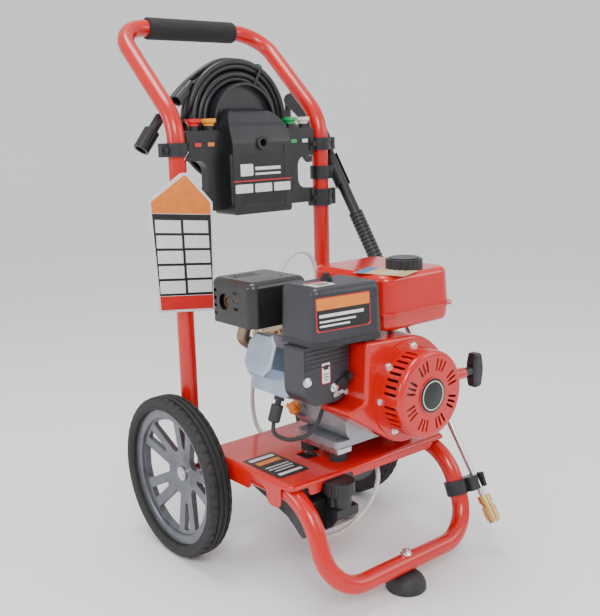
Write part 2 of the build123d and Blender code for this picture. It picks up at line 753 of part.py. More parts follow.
COUPLER_SECTION = [
    (LANCE_R + FIT, 704), (12.5, 704), (12.5, 718), (COUPLER_R, 718), (COUPLER_R, 752), (COUPLER_R + 0.9, 752),
    (COUPLER_R + 0.9, COUPLER_END), (SOCKET_BORE_R, COUPLER_END), (SOCKET_BORE_R, COUPLER_END - SOCKET_DEPTH),
    (LANCE_R - 1.5, COUPLER_END - SOCKET_DEPTH), (LANCE_R - 1.5, LANCE_END + 0.1), (LANCE_R + FIT, LANCE_END + 0.1),
]

with BuildPart() as lance_coupler:
    with BuildSketch(lance_section):
        Polygon(*COUPLER_SECTION, align=None)
    revolve(axis=lance_axis)

lance_coupler.part.label = "lance_coupler"
export_step(lance_coupler.part, "parts/lance_coupler.step")

with BuildPart() as coupler_collar:
    with BuildSketch(gun_plane(725)):
        Circle(13)
        Circle(COUPLER_R + FIT, mode=Mode.SUBTRACT)
        with PolarLocations(13.4, 18):
            Circle(0.9, mode=Mode.SUBTRACT)
    extrude(amount=24)

coupler_collar.part.label = "coupler_collar"
export_step(coupler_collar.part, "parts/coupler_collar.step")

LEG_AXIS = Vector(0, LEG_KNEE_Y, RAIL_Z - FRONT_BAR_Z).normalized()
CLIP_CENTRE = Vector(POST_X, 31.7, 125.3)
CLIP_LENGTH = 26.0
BAND_LOW = 680.0
BAND_HIGH = 706.0

with BuildPart() as lance_holders:
    # Lower clip: a ring round the leg and a block with a groove that is open to the front
    with BuildSketch(Plane(origin=CLIP_CENTRE - LEG_AXIS * (CLIP_LENGTH / 2), x_dir=(1, 0, 0), z_dir=LEG_AXIS)):
        Circle(21)
        with Locations((30, -15)):
            RectangleRounded(42, 30, 4)
        Circle(TUBE_R + 0.1, mode=Mode.SUBTRACT)
    extrude(amount=CLIP_LENGTH)
    with BuildSketch(gun_plane(630)):
        Circle(LANCE_R + 0.5)
        with Locations((0, 25)):
            Rectangle(2 * LANCE_R + 1, 50, mode=Mode.ADD)
    extrude(amount=90, mode=Mode.SUBTRACT)
    # Upper holster: a band round the post that carries a channel for the gun's smooth sleeve
    with BuildSketch(Plane.XY.offset(BAND_LOW)):
        with Locations((POST_X, POST_Y)):
            Circle(21)
        with Locations((192, POST_Y - 6)):
            Rectangle(30, 18)
        with Locations((POST_X, POST_Y)):
            Circle(TUBE_R + 0.1, mode=Mode.SUBTRACT)
    extrude(amount=BAND_HIGH - BAND_LOW)
    with BuildSketch(gun_plane(-36)):
        Circle(15.5)
    extrude(amount=72)
    with BuildSketch(gun_plane(-60)):
        Circle(SLEEVE_R + 0.5)
        with Locations((0, 25)):
            Rectangle(2 * SLEEVE_R + 1, 50)
    extrude(amount=120, mode=Mode.SUBTRACT)

lance_holders.part.label = "lance_holders"
export_step(lance_holders.part, "parts/lance_holders.step")


# ---------------------------------------------------------------- crankcase and cylinder

CASE_FRONT = 98.5
CASE_REAR = 232.0
CASE_TOP = 424.0
FOOT_TOP = 251.0
CYLINDER_HALF = 42.0
FIN_HALF = 51.0
FIRST_FIN = 84.0
FIN_PITCH = 9.0
FINS = 7
HEAD_START = 150.2
HEAD_END = 185.0
COVER_END = 218.0
DIPSTICK_BASE = (-45, 214, 281)
DIPSTICK_DIR = (-0.906, 0, 0.423)

cylinder_dir = Vector(-cos(radians(CYLINDER_TILT)), 0, sin(radians(CYLINDER_TILT)))
crank_centre = Vector(CRANK_X, CYLINDER_Y, CRANK_Z)


def cylinder_plane(along):
    """Plane across the cylinder at a distance from the crank; local X is Y and local -Y is up."""
    return Plane(origin=crank_centre + cylinder_dir * along, x_dir=(0, 1, 0), z_dir=cylinder_dir)


with BuildPart() as crankcase:
    with BuildSketch(Plane.XZ.offset(-CASE_REAR)):
        with Locations(((-45 + 112) / 2, (FOOT_TOP - 2 + CASE_TOP) / 2)):
            RectangleRounded(157, CASE_TOP - FOOT_TOP + 2, 24)
    extrude(amount=CASE_REAR - CASE_FRONT)
    # Cylinder barrel with its cooling fins
    with BuildSketch(cylinder_plane(40)):
        Rectangle(2 * CYLINDER_HALF, 2 * CYLINDER_HALF - 4)
    extrude(amount=HEAD_START - 0.2 - 40)
    for fin in range(FINS):
        with BuildSketch(cylinder_plane(FIRST_FIN + fin * FIN_PITCH)):
            RectangleRounded(2 * FIN_HALF, 2 * FIN_HALF - 6, 10)
        extrude(amount=3)
    # Foot flange
    with BuildSketch(Plane.XY.offset(ENGINE_BASE)):
        with Locations((35, 158)):
            RectangleRounded(194, 112, 12)
        with Locations(*[(x, y) for x in MOUNT_X for y in MOUNT_Y]):
            Circle(MOUNT_HOLE_R, mode=Mode.SUBTRACT)
    extrude(amount=FOOT_TOP - ENGINE_BASE)
    # Oil filler neck
    with BuildSketch(Plane(origin=DIPSTICK_BASE, x_dir=(0, 1, 0), z_dir=DIPSTICK_DIR).offset(-8)):
        Circle(12)
    extrude(amount=25)
    # Posts for the fuel tank
    with BuildSketch(Plane.XY.offset(CASE_TOP - 6)):
        with Locations((10, 130), (100, 130), (10, 215), (100, 215)):
            Circle(7)
    extrude(amount=446.5 - CASE_TOP + 6)
    # Crank chamber, cylinder bore, shaft bearings and filler bore
    with Locations((34, 165, 336)):
        Box(134, 106, 148, mode=Mode.SUBTRACT)
    with BuildSketch(cylinder_plane(40)):
        Circle(34)
    extrude(amount=120, mode=Mode.SUBTRACT)
    with BuildSketch(Plane.XZ.offset(-CASE_REAR - 5)):
        with Locations((CRANK_X, CRANK_Z)):
            Circle(CRANK_R + FIT)
    extrude(amount=CASE_REAR - CASE_FRONT + 10, mode=Mode.SUBTRACT)
    with BuildSketch(Plane(origin=DIPSTICK_BASE, x_dir=(0, 1, 0), z_dir=DIPSTICK_DIR).offset(-20)):
        Circle(7)
    extrude(amount=45, mode=Mode.SUBTRACT)

crankcase.part.label = "crankcase"
export_step(crankcase.part, "parts/crankcase.step")

PLUG_SPOT = (-10.0, 62.0)

with BuildPart() as cylinder_head:
    with BuildSketch(cylinder_plane(HEAD_START)):
        with Locations((0, 13)):
            RectangleRounded(102, 98, 10)
    extrude(amount=HEAD_END - HEAD_START)
    # Cooling grooves along the lower flank
    for groove in (157, 168, 179):
        with BuildSketch(cylinder_plane(groove)):
            with Locations((-44, 62), (44, 62)):
                Rectangle(40, 14)
        extrude(amount=4, mode=Mode.SUBTRACT)
    with BuildSketch(cylinder_plane(HEAD_START)):
        Circle(30)
    extrude(amount=12, mode=Mode.SUBTRACT)

cylinder_head.part.label = "cylinder_head"
export_step(cylinder_head.part, "parts/cylinder_head.step")

with BuildPart() as valve_cover:
    with BuildSketch(cylinder_plane(HEAD_END + 0.2)) as cover_base:
        with Locations((9, 2)):
            Rectangle(74, 72)
        chamfer(cover_base.vertices(), 17)
    extrude(amount=COVER_END - HEAD_END, taper=2)
    fillet(valve_cover.faces().sort_by(Axis(crank_centre, cylinder_dir))[-1].edges(), 4)
    # Raised plain bars on the face
    with BuildSketch(cylinder_plane(COVER_END - 0.8)):
        with Locations((9, -14), (9, 16)):
            Rectangle(44, 2)
    extrude(amount=1.8)
    with BuildSketch(cylinder_plane(HEAD_END + 0.1)):
        with Locations((9, 2)):
            RectangleRounded(60, 58, 12)
    extrude(amount=26, mode=Mode.SUBTRACT)

valve_cover.part.label = "valve_cover"
export_step(valve_cover.part, "parts/valve_cover.step")

plug_plane = Plane(
    origin=cylinder_plane(168).from_local_coords((PLUG_SPOT[0], PLUG_SPOT[1] + 0.1, 0)),
    x_dir=(0, 1, 0),
    z_dir=cylinder_plane(168).y_dir,
)
LEAD_R = 3.5
boot_end = plug_plane.origin + plug_plane.z_dir * 44
lead_points = [
    tuple(boot_end), (-168, 145, 284), (-150, 128, 272), (-122, 112, 276), (-104, 104, 296), (-90, 101.7, 330),
]

with BuildPart() as spark_plug:
    for radius, start, end in ((9, 0, 8), (5.5, 8, 16), (10.5, 16, 46)):
        with BuildSketch(plug_plane.offset(start)):
            Circle(radius)
        extrude(amount=end - start)
    fillet(spark_plug.edges().filter_by(GeomType.CIRCLE).sort_by(Axis(plug_plane.origin, plug_plane.z_dir))[-1], 4)
    # High-tension lead from the boot to the back of the fan shroud
    with BuildLine() as lead_line:
        FilletPolyline(*lead_points, radius=bend_radii(lead_points))
    with BuildSketch(Plane(origin=lead_line.line @ 0, z_dir=lead_line.line % 0)):
        Circle(LEAD_R)
    sweep(path=lead_line.line)

spark_plug.part.label = "spark_plug"
export_step(spark_plug.part, "parts/spark_plug.step")

with BuildPart() as oil_dipstick:
    stick_plane = Plane(origin=DIPSTICK_BASE, x_dir=(0, 1, 0), z_dir=DIPSTICK_DIR)
    with BuildSketch(stick_plane.offset(17.4)):
        Circle(13)
        with PolarLocations(14, 8):
            Circle(2, mode=Mode.SUBTRACT)
    extrude(amount=6)
    with BuildSketch(stick_plane.offset(23.4)):
        SlotOverall(24, 9)
    extrude(amount=8)
    with BuildSketch(stick_plane.offset(-28)):
        Circle(2.5)
    extrude(amount=46)

oil_dipstick.part.label = "oil_dipstick"
export_step(oil_dipstick.part, "parts/oil_dipstick.step")

with BuildPart() as engine_rails:
    with BuildSketch(Plane.XY.offset(230.4)):
        for x in MOUNT_X:
            with Locations((x, 157)):
                RectangleRounded(34, 114, 3)
        with Locations(*[(x, y) for x in MOUNT_X for y in MOUNT_Y]):
            Circle(MOUNT_HOLE_R, mode=Mode.SUBTRACT)
    extrude(amount=8.4)

engine_rails.part.label = "engine_rails"
export_step(engine_rails.part, "parts/engine_rails.step")

with BuildPart() as engine_mounts:
    with BuildSketch(Plane.XY.offset(DECK_Z + 0.1)):
        with Locations(*[(x, y) for x in MOUNT_X for y in MOUNT_Y]):
            Circle(16)
            Circle(MOUNT_HOLE_R, mode=Mode.SUBTRACT)
    extrude(amount=16)

engine_mounts.part.label = "engine_mounts"
export_step(engine_mounts.part, "parts/engine_mounts.step")


# ---------------------------------------------------------------- crankshaft, flywheel and starter

crank_line = Axis((CRANK_X, 0, CRANK_Z), (0, 1, 0))
crank_section = Plane(origin=(CRANK_X, 0, CRANK_Z), x_dir=(1, 0, 0), z_dir=(0, 0, 1))


with BuildPart() as crankshaft:
    with BuildSketch(crank_section):
        Polygon((0, 10), (6, 10), (8, 12), (8, 26), (CRANK_R, 26), (CRANK_R, 298), (8, 300), (0, 300), align=None)
    revolve(axis=crank_line)

crankshaft.part.label = "crankshaft"
export_step(crankshaft.part, "parts/crankshaft.step")

FLYWHEEL_R = 62.0
BLADES = 16

with BuildPart() as flywheel:
    with BuildSketch(crank_section):
        Polygon((CRANK_R + FIT, 40), (FLYWHEEL_R, 40), (FLYWHEEL_R, 76), (48, 76), (48, 52), (20, 52),
                (20, 70), (CRANK_R + FIT, 70), align=None)
    revolve(axis=crank_line)
    # Cooling fan blades cast on the front face
    with BuildSketch(Plane.XZ.offset(-41)):
        with Locations((CRANK_X, CRANK_Z)):
            with PolarLocations(47, BLADES):
                Rectangle(28, 3, rotation=18)
    extrude(amount=12)

flywheel.part.label = "flywheel"
export_step(flywheel.part, "parts/flywheel.step")

SHROUD_R = 92.0
SHROUD_REAR = 98.0
SHROUD_WALL = 2.5
SHROUD_FLANK = [(-64, 442), (39.5, 436.9), (CRANK_X, CRANK_Z), (-15.4, 268), (-98, 322), (-104, 334), (-68, 343)]
SWITCH_Y = 60.0

with BuildPart() as fan_shroud:
    with BuildSketch(Plane.XZ.offset(-SHROUD_REAR)) as shroud_outline:
        Polygon(*SHROUD_FLANK, align=None)
        fillet(shroud_outline.vertices().sort_by(Axis.X)[:4], 7)
        with Locations((CRANK_X, CRANK_Z)):
            Circle(SHROUD_R)
    extrude(amount=SHROUD_REAR - FLANGE_Y)
    fillet(fan_shroud.faces().sort_by(Axis.Y)[0].edges(), 6)
    offset(amount=-SHROUD_WALL, openings=fan_shroud.faces().sort_by(Axis.Y)[-1])
    with BuildSketch(Plane.XZ.offset(-FLANGE_Y - 10)):
        with Locations((CRANK_X, CRANK_Z)):
            Circle(70)
    extrude(amount=20, mode=Mode.SUBTRACT)
    # Box for the engine's stop switch
    with Locations((CRANK_X + SHROUD_R + 0.5, SWITCH_Y, CRANK_Z)):
        Box(13, 24, 30)
    with Locations((CRANK_X + SHROUD_R + 2, SWITCH_Y, CRANK_Z)):
        Box(12, 17, 23, mode=Mode.SUBTRACT)

fan_shroud.part.label = "fan_shroud"
export_step(fan_shroud.part, "parts/fan_shroud.step")

switch_x = CRANK_X + SHROUD_R

with BuildPart() as engine_switch:
    with BuildSketch(Plane.XZ.offset(-SWITCH_Y)):
        Polygon((switch_x - 2.5, 336.5), (switch_x + 6, 336), (switch_x + 8, 345), (switch_x + 6, 354),
                (switch_x - 2.5, 353.5), align=None)
    extrude(amount=8, both=True)

engine_switch.part.label = "engine_switch"
export_step(engine_switch.part, "parts/engine_switch.step")

PULLEY_R = 56.0
PULLEY_POST_R = 5.0
ROPE_Y = -3.0
ROPE_Z = 357.0
BOSS_END = 141.0

with BuildPart() as recoil_cover:
    with BuildSketch(crank_section):
        with BuildLine():
            Polyline((0, RECOIL_FACE), (67, RECOIL_FACE))
            ThreePointArc((67, RECOIL_FACE), (72.7, -23.7), (RECOIL_R, -18))
            Polyline((RECOIL_R, -18), (RECOIL_R, 20), (88, 20), (88, FLANGE_Y - 0.1), (72, FLANGE_Y - 0.1), (72, -17),
                     (65, -23), (PULLEY_POST_R, -23), (PULLEY_POST_R, 6), (0, 6), (0, RECOIL_FACE))
        make_face()
    revolve(axis=crank_line)
    # Name plate boss in the middle of the face
    with BuildSketch(Plane.XZ.offset(-RECOIL_FACE)):
        with Locations((CRANK_X, CRANK_Z)):
            Circle(31)
    extrude(amount=1.5)
    # Rope outlet
    with BuildSketch(Plane.YZ.offset(BOSS_END)):
        with Locations((ROPE_Y, ROPE_Z)):
            Circle(10)
    extrude(amount=-38)
    with BuildSketch(Plane.YZ.offset(BOSS_END)):
        with Locations((ROPE_Y, ROPE_Z)):
            Circle(3.5)
    extrude(amount=-48, mode=Mode.SUBTRACT)
    # Air slots round the left side of the drum
    with Locations((CRANK_X, 0, CRANK_Z)):
        with Locations(*[Location((0, 0, 0), (0, -angle, 0)) for angle in range(108, 262, 9) if angle != 180]):
            with Locations((74, -1, 0)):
                Box(16, 26, 4.4, mode=Mode.SUBTRACT)
    # Air slots in the face, in groups of three
    with BuildSketch(Plane.XZ.offset(-RECOIL_FACE + 4)):
        with Locations((CRANK_X, CRANK_Z)):
            for group in range(8):
                for step in (-1, 0, 1):
                    with PolarLocations(52, 1, start_angle=group * 45 + 22 + step * 9.5):
                        SlotOverall(21, 4)
    extrude(amount=-10, mode=Mode.SUBTRACT)

recoil_cover.part.label = "recoil_cover"
export_step(recoil_cover.part, "parts/recoil_cover.step")

with BuildPart() as recoil_pulley:
    with BuildSketch(crank_section):
        Polygon((PULLEY_POST_R + FIT, -16), (PULLEY_R, -16), (PULLEY_R, -11), (48, -8), (48, -4), (PULLEY_R, -1),
                (PULLEY_R, 4), (PULLEY_POST_R + FIT, 4), align=None)
    revolve(axis=crank_line)
    # Window for the pawls
    with BuildSketch(Plane.XZ.offset(-5)):
        with Locations((CRANK_X, CRANK_Z)):
            with PolarLocations(28, 3):
                Circle(8)
    extrude(amount=22, mode=Mode.SUBTRACT)

recoil_pulley.part.label = "recoil_pulley"
export_step(recoil_pulley.part, "parts/recoil_pulley.step")

HANDLE_OUTLINE = [
    (160, 344, 3), (165, 326, 4), (181, 326, 7), (187, 357, 60), (181, 388, 7), (165, 388, 4),
    (160, 370, 3),
]

with BuildPart() as recoil_handle:
    with BuildSketch(Plane.XZ.offset(-ROPE_Y)):
        rounded_face(HANDLE_OUTLINE)
    extrude(amount=11, both=True)
    fillet(recoil_handle.faces().filter_by(Axis.Y).edges(), 6)
    with BuildSketch(Plane.YZ.offset(BOSS_END + 0.4)):
        with Locations((ROPE_Y, ROPE_Z)):
            Circle(8)
    extrude(amount=25)

recoil_handle.part.label = "recoil_handle"
export_step(recoil_handle.part, "parts/recoil_handle.step")


# ---------------------------------------------------------------- air filter, intake and exhaust

FILTER_REAR = 132.0
FILTER_LOW = 446.0
FILTER_JOINT = 456.0
FILTER_TOP = 540.0
STUD_X = -92.0
STUD_Y = 89.0
STUD_R = 3.0
FILTER_OUTLINE = [(-160, FILTER_REAR, 14), (-160, 41, 18), (-20, 25, 18), (-20, FILTER_REAR, 14)]

with BuildPart() as air_filter_base:
    with BuildSketch(Plane.XY.offset(FILTER_LOW)):
        rounded_face(FILTER_OUTLINE)
    extrude(amount=FILTER_JOINT - 0.3 - FILTER_LOW)
    with BuildSketch(Plane.XY.offset(FILTER_LOW)):
        with Locations((STUD_X, STUD_Y)):
            Circle(STUD_R)
    extrude(amount=548 - FILTER_LOW)
    # Air duct down to the carburettor
    with BuildSketch(Plane.XY.offset(416)):
        with Locations((-118, 90)):
            Circle(13)
            Circle(10, mode=Mode.SUBTRACT)
    extrude(amount=FILTER_LOW - 416)
    with BuildSketch(Plane.XY.offset(FILTER_LOW - 1)):
        with Locations((-118, 90)):
            Circle(10)
    extrude(amount=20, mode=Mode.SUBTRACT)

air_filter_base.part.label = "air_filter_base"
export_step(air_filter_base.part, "parts/air_filter_base.step")

with BuildPart() as air_filter_cover:
    with BuildSketch(Plane.XY.offset(FILTER_JOINT)):
        rounded_face(FILTER_OUTLINE)
    extrude(amount=FILTER_TOP - FILTER_JOINT, taper=2.5)
    fillet(air_filter_cover.faces().sort_by(Axis.Z)[-1].edges(), 12)
    offset(amount=-2.5, openings=air_filter_cover.faces().sort_by(Axis.Z)[0])
    with BuildSketch(Plane.XY.offset(FILTER_TOP - 10)):
        with Locations((STUD_X, STUD_Y)):
            Circle(STUD_R + 0.5)
    extrude(amount=20, mode=Mode.SUBTRACT)

air_filter_cover.part.label = "air_filter_cover"
export_step(air_filter_cover.part, "parts/air_filter_cover.step")

with BuildPart() as filter_knob:
    with BuildSketch(Plane.XY.offset(FILTER_TOP + 0.3)):
        with Locations((STUD_X, STUD_Y)):
            Circle(9)
            with PolarLocations(9.6, 10):
                Circle(1.4, mode=Mode.SUBTRACT)
    extrude(amount=7)
    with BuildSketch(Plane.XY.offset(FILTER_TOP + 7.3)):
        with Locations((STUD_X, STUD_Y)):
            Circle(5.5)
    extrude(amount=6)
    with BuildSketch(Plane.XY.offset(FILTER_TOP)):
        with Locations((STUD_X, STUD_Y)):
            Circle(STUD_R + FIT)
    extrude(amount=10, mode=Mode.SUBTRACT)

filter_knob.part.label = "filter_knob"
export_step(filter_knob.part, "parts/filter_knob.step")

INTAKE_FRONT = 60.0
INTAKE_REAR = 110.0
INTAKE_OUTLINE = [(-168, 346, 32), (-168, 445, 4), (-71, 445, 4), (-71, 346, 32)]
CHOKE_PIVOT = (-98, 376)
FUEL_PIVOT = (-106, 358)
LEVER_PIN_R = 2.0

with BuildPart() as intake_cover:
    with BuildSketch(Plane.XZ.offset(-INTAKE_REAR)):
        rounded_face(INTAKE_OUTLINE)
    extrude(amount=INTAKE_REAR - INTAKE_FRONT)
    # Louvres across the upper front
    with BuildSketch(Plane.XZ.offset(-INTAKE_FRONT)):
        for step in range(5):
            with Locations((-119.5, 437 - 7 * step)):
                Rectangle(93, 2.5)
    extrude(amount=1.5)
    with BuildSketch(Plane.XZ.offset(-INTAKE_REAR)):
        rounded_face([(-165.5, 348.5, 29.5), (-165.5, 442.5, 2), (-73.5, 442.5, 2), (-73.5, 348.5, 29.5)])
    extrude(amount=INTAKE_REAR - INTAKE_FRONT - 2.5, mode=Mode.SUBTRACT)
    # Opening for the duct, and holes for the two lever pins
    with BuildSketch(Plane.XY.offset(450)):
        with Locations((-118, 90)):
            Circle(14)
    extrude(amount=-20, mode=Mode.SUBTRACT)
    with BuildSketch(Plane.XZ.offset(-INTAKE_FRONT - 5)):
        with Locations(CHOKE_PIVOT, FUEL_PIVOT):
            Circle(LEVER_PIN_R + FIT)
    extrude(amount=20, mode=Mode.SUBTRACT)

intake_cover.part.label = "intake_cover"
export_step(intake_cover.part, "parts/intake_cover.step")

with BuildPart() as carburettor:
    with BuildSketch(Plane.XZ.offset(-111.5)):
        with Locations((-118, 398)):
            Circle(16)
    extrude(amount=40)
    with BuildSketch(Plane.XY.offset(366)):
        with Locations((-118, 90)):
            Circle(15)
    extrude(amount=50)
    with BuildSketch(Plane.XZ.offset(-111.5)):
        with Locations((-118, 398)):
            SlotOverall(62, 26)
    extrude(amount=6)

carburettor.part.label = "carburettor"
export_step(carburettor.part, "parts/carburettor.step")

# Levers on the front of the intake cover: (name, pivot, end of the arm, knob radius)
LEVERS = (("choke_lever", CHOKE_PIVOT, (-78, 386), 6.0), ("fuel_lever", FUEL_PIVOT, (-89, 362), 4.5))

for name, pivot, tip, knob_r in LEVERS:
    with BuildPart() as lever:
        with BuildSketch(Plane.XZ.offset(-INTAKE_FRONT + 1.9)):
            with Locations(pivot, tip):
                Circle(3.6)
            make_hull()
        extrude(amount=2)
        with BuildSketch(Plane.XZ.offset(-INTAKE_FRONT + 1.9)):
            with Locations(tip):
                Circle(knob_r)
        extrude(amount=10)
        with BuildSketch(Plane.XZ.offset(-INTAKE_FRONT - 4)):
            with Locations(pivot):
                Circle(LEVER_PIN_R)
        extrude(amount=7)

    lever.part.label = name
    export_step(lever.part, f"parts/{name}.step")

PIPE_R = 11.0
pipe_points = [(-122, 214.5, 405), (-122, 240, 405), (-154, 240, 430), (-154, 222, 473)]

with BuildPart() as muffler:
    with BuildSketch(Plane.XY.offset(472)):
        with Locations((-131, 218)):
            RectangleRounded(102, 98, 24)
    extrude(amount=56)
    fillet(muffler.faces().filter_by(Axis.Z).edges(), 9)
    with BuildLine() as pipe_line:
        FilletPolyline(*pipe_points, radius=[13, 13])
    with BuildSketch(Plane(origin=pipe_points[0], z_dir=(0, 1, 0))):
        Circle(PIPE_R)
        Circle(PIPE_R - 1.5, mode=Mode.SUBTRACT)
    sweep(path=pipe_line.line)
    # Flange on the back of the cylinder head, with room for the head's flank
    with BuildSketch(Plane.XZ.offset(-220.5)):
        with Locations((-122, 405)):
            SlotOverall(52, 26, rotation=-20)
    extrude(amount=6)
    # Tail pipe through the side of the guard
    with BuildSketch(Plane.YZ.offset(-186)):
        with Locations((236, 500)):
            Circle(9)
            Circle(7.5, mode=Mode.SUBTRACT)
    extrude(amount=8)

muffler.part.label = "muffler"
export_step(muffler.part, "parts/muffler.step")

with BuildPart() as muffler_guard:
    with BuildSketch(Plane.XY.offset(463)):
        with Locations((-131, 218)):
            RectangleRounded(122, 118, 16)
    extrude(amount=76)
    fillet(muffler_guard.faces().sort_by(Axis.Z)[-1].edges(), 12)
    offset(amount=-1.5, openings=muffler_guard.faces().sort_by(Axis.Z)[0])
    # Louvres on top
    with BuildSketch(Plane.XY.offset(545)):
        for step in range(5):
            with Locations((-168 + 11 * step, 240)):
                SlotOverall(30, 4, rotation=90)
        with Locations((-105, 190)):
            Circle(3)
    extrude(amount=-20, mode=Mode.SUBTRACT)
    # Holes in the left wall, round the tail pipe
    with BuildSketch(Plane.YZ.offset(-200)):
        with Locations((236, 500)):
            Circle(14)
        with GridLocations(22, 13, 1, 4):
            with Locations((263, 498)):
                SlotOverall(12, 5)
        with GridLocations(22, 13, 1, 3):
            with Locations((203, 505)):
                SlotOverall(12, 5)
    extrude(amount=20, mode=Mode.SUBTRACT)

muffler_guard.part.label = "muffler_guard"
export_step(muffler_guard.part, "parts/muffler_guard.step")


# ---------------------------------------------------------------- fuel tank

TANK_X = 74.0
TANK_Y = 133.0
TANK_W = 172.0
TANK_L = 198.0
TANK_SEAM = 477.0
TANK_TOP = 541.0
TANK_LOW = 447.0
CAP_X = 80.0
CAP_Y = 80.0
NECK_R = 23.0


def tank_block(inset):
    """The tank's two pressed halves as one solid, drawn in on every side by the inset."""
    with BuildPart() as block:
        with BuildSketch(Plane.XY.offset(TANK_SEAM)):
            with Locations((TANK_X, TANK_Y)):
                RectangleRounded(TANK_W - 2 * inset, TANK_L - 2 * inset, 30 - inset)
        extrude(amount=TANK_TOP - inset - TANK_SEAM, taper=4)
        fillet(block.faces().sort_by(Axis.Z)[-1].edges(), 12)
        with BuildSketch(Plane.XY.offset(TANK_SEAM)):
            with Locations((TANK_X, TANK_Y)):
                RectangleRounded(TANK_W - 2 * inset, TANK_L - 2 * inset, 30 - inset)
        extrude(amount=-(TANK_SEAM - inset - TANK_LOW), taper=6)
        fillet(block.faces().sort_by(Axis.Z)[0].edges(), 9)
    return block.part


with BuildPart() as fuel_tank:
    add(tank_block(0))
    with BuildSketch(Plane.XY.offset(TANK_SEAM - 2)):
        with Locations((TANK_X, TANK_Y)):
            RectangleRounded(TANK_W + 12, TANK_L + 12, 32)
    extrude(amount=3.5)
    with BuildSketch(Plane.XY.offset(TANK_TOP - 8)):
        with Locations((CAP_X, CAP_Y)):
            Circle(NECK_R)
    extrude(amount=13)
    add(tank_block(2), mode=Mode.SUBTRACT)
    with BuildSketch(Plane.XY.offset(TANK_TOP - 12)):
        with Locations((CAP_X, CAP_Y)):
            Circle(NECK_R - 3)
    extrude(amount=20, mode=Mode.SUBTRACT)

fuel_tank.part.label = "fuel_tank"
export_step(fuel_tank.part, "parts/fuel_tank.step")

with BuildPart() as fuel_cap:
    with BuildSketch(Plane.XY.offset(TANK_TOP + 0.5)):
        with Locations((CAP_X, CAP_Y)):
            Circle(32)
            with PolarLocations(33, 20):
                Circle(2.4, mode=Mode.SUBTRACT)
    extrude(amount=17)
    fillet(fuel_cap.faces().sort_by(Axis.Z)[-1].edges(), 1.2)
    with BuildSketch(Plane.XY.offset(TANK_TOP + 17.5)):
        with Locations((CAP_X, CAP_Y)):
            Circle(26)
    extrude(amount=2)
    with BuildSketch(Plane.XY.offset(TANK_TOP)):
        with Locations((CAP_X, CAP_Y)):
            Circle(NECK_R + FIT)
    extrude(amount=6, mode=Mode.SUBTRACT)

fuel_cap.part.label = "fuel_cap"
export_step(fuel_cap.part, "parts/fuel_cap.step")


# ---------------------------------------------------------------- pump

PUMP_R = 48.0
PUMP_FRONT = 232.2
PUMP_BACK = 330.0
HEAD_BACK = 398.0
PORT_Y = 366.0
PORT_Z = 330.0
INLET_X = -42.0
INLET_R = 13.3
OUTLET_X = 101.0
OUTLET_R = 11.0
KNOB_X = 62.0
BARB_X = 95.0
BARB_Y = 345.0
BARB_TOP = 404.0

with BuildPart() as pump_body:
    with BuildSketch(crank_section):
        Polygon((CRANK_R + 0.5, PUMP_FRONT), (60, PUMP_FRONT), (60, PUMP_FRONT + 12), (PUMP_R, PUMP_FRONT + 16),
                (PUMP_R, PUMP_BACK), (0, PUMP_BACK), (0, 302), (CRANK_R + 0.5, 302), align=None)
    revolve(axis=crank_line)
    for rib in range(5):
        with BuildSketch(crank_section):
            with Locations((PUMP_R, 262 + 14 * rib)):
                Rectangle(8, 3)
        revolve(axis=crank_line)

pump_body.part.label = "pump_body"
export_step(pump_body.part, "parts/pump_body.step")

with BuildPart() as pump_head:
    with BuildSketch(Plane.XZ.offset(-HEAD_BACK)) as head_face:
        with Locations((CRANK_X, 347)):
            RectangleRounded(100, 94, 6)
    extrude(amount=HEAD_BACK - PUMP_BACK - 0.2)
    # Valve plugs: three on top and three at the back
    with BuildSketch(Plane.XY.offset(394)):
        with Locations((0, 350), (25, 350)):
            RegularPolygon(9.5, 6)
    extrude(amount=6)
    with BuildSketch(Plane.XZ.offset(-HEAD_BACK - 6)):
        with Locations((5, 368), (35, 368), (65, 368)):
            RegularPolygon(10, 6)
    extrude(amount=6)
    # Garden hose inlet, high-pressure outlet, unloader spindle and detergent barb
    with BuildSketch(Plane.YZ.offset(INLET_X)):
        with Locations((PORT_Y, PORT_Z)):
            Circle(18)
            with PolarLocations(18.6, 16):
                Circle(1.5, mode=Mode.SUBTRACT)
    extrude(amount=CRANK_X - 50 - INLET_X)
    with BuildSketch(Plane.YZ.offset(INLET_X)):
        with Locations((PORT_Y, PORT_Z)):
            Circle(INLET_R)
    extrude(amount=12, mode=Mode.SUBTRACT)
    with BuildSketch(Plane.YZ.offset(CRANK_X + 50)):
        with Locations((PORT_Y, PORT_Z)):
            Circle(OUTLET_R)
    extrude(amount=OUTLET_X - CRANK_X - 50)
    with BuildSketch(Plane.XY.offset(393)):
        with Locations((KNOB_X, 370)):
            Circle(6)
    extrude(amount=22)
    with Locations((88, BARB_Y, 378)):
        Box(30, 22, 24)
    with BuildSketch(Plane.XY.offset(389)):
        with Locations((BARB_X, BARB_Y)):
            Circle(4)
    extrude(amount=BARB_TOP - 389)

pump_head.part.label = "pump_head"
export_step(pump_head.part, "parts/pump_head.step")

with BuildPart() as unloader_knob:
    with BuildSketch(Plane.XY.offset(396)):
        with Locations((KNOB_X, 370)):
            Circle(17)
            with PolarLocations(18.4, 12):
                Circle(2.6, mode=Mode.SUBTRACT)
    extrude(amount=30)
    with BuildSketch(Plane.XY.offset(396)):
        with Locations((KNOB_X, 370)):
            Circle(6 + FIT)
    extrude(amount=20, mode=Mode.SUBTRACT)

unloader_knob.part.label = "unloader_knob"
export_step(unloader_knob.part, "parts/unloader_knob.step")


# ---------------------------------------------------------------- detergent system

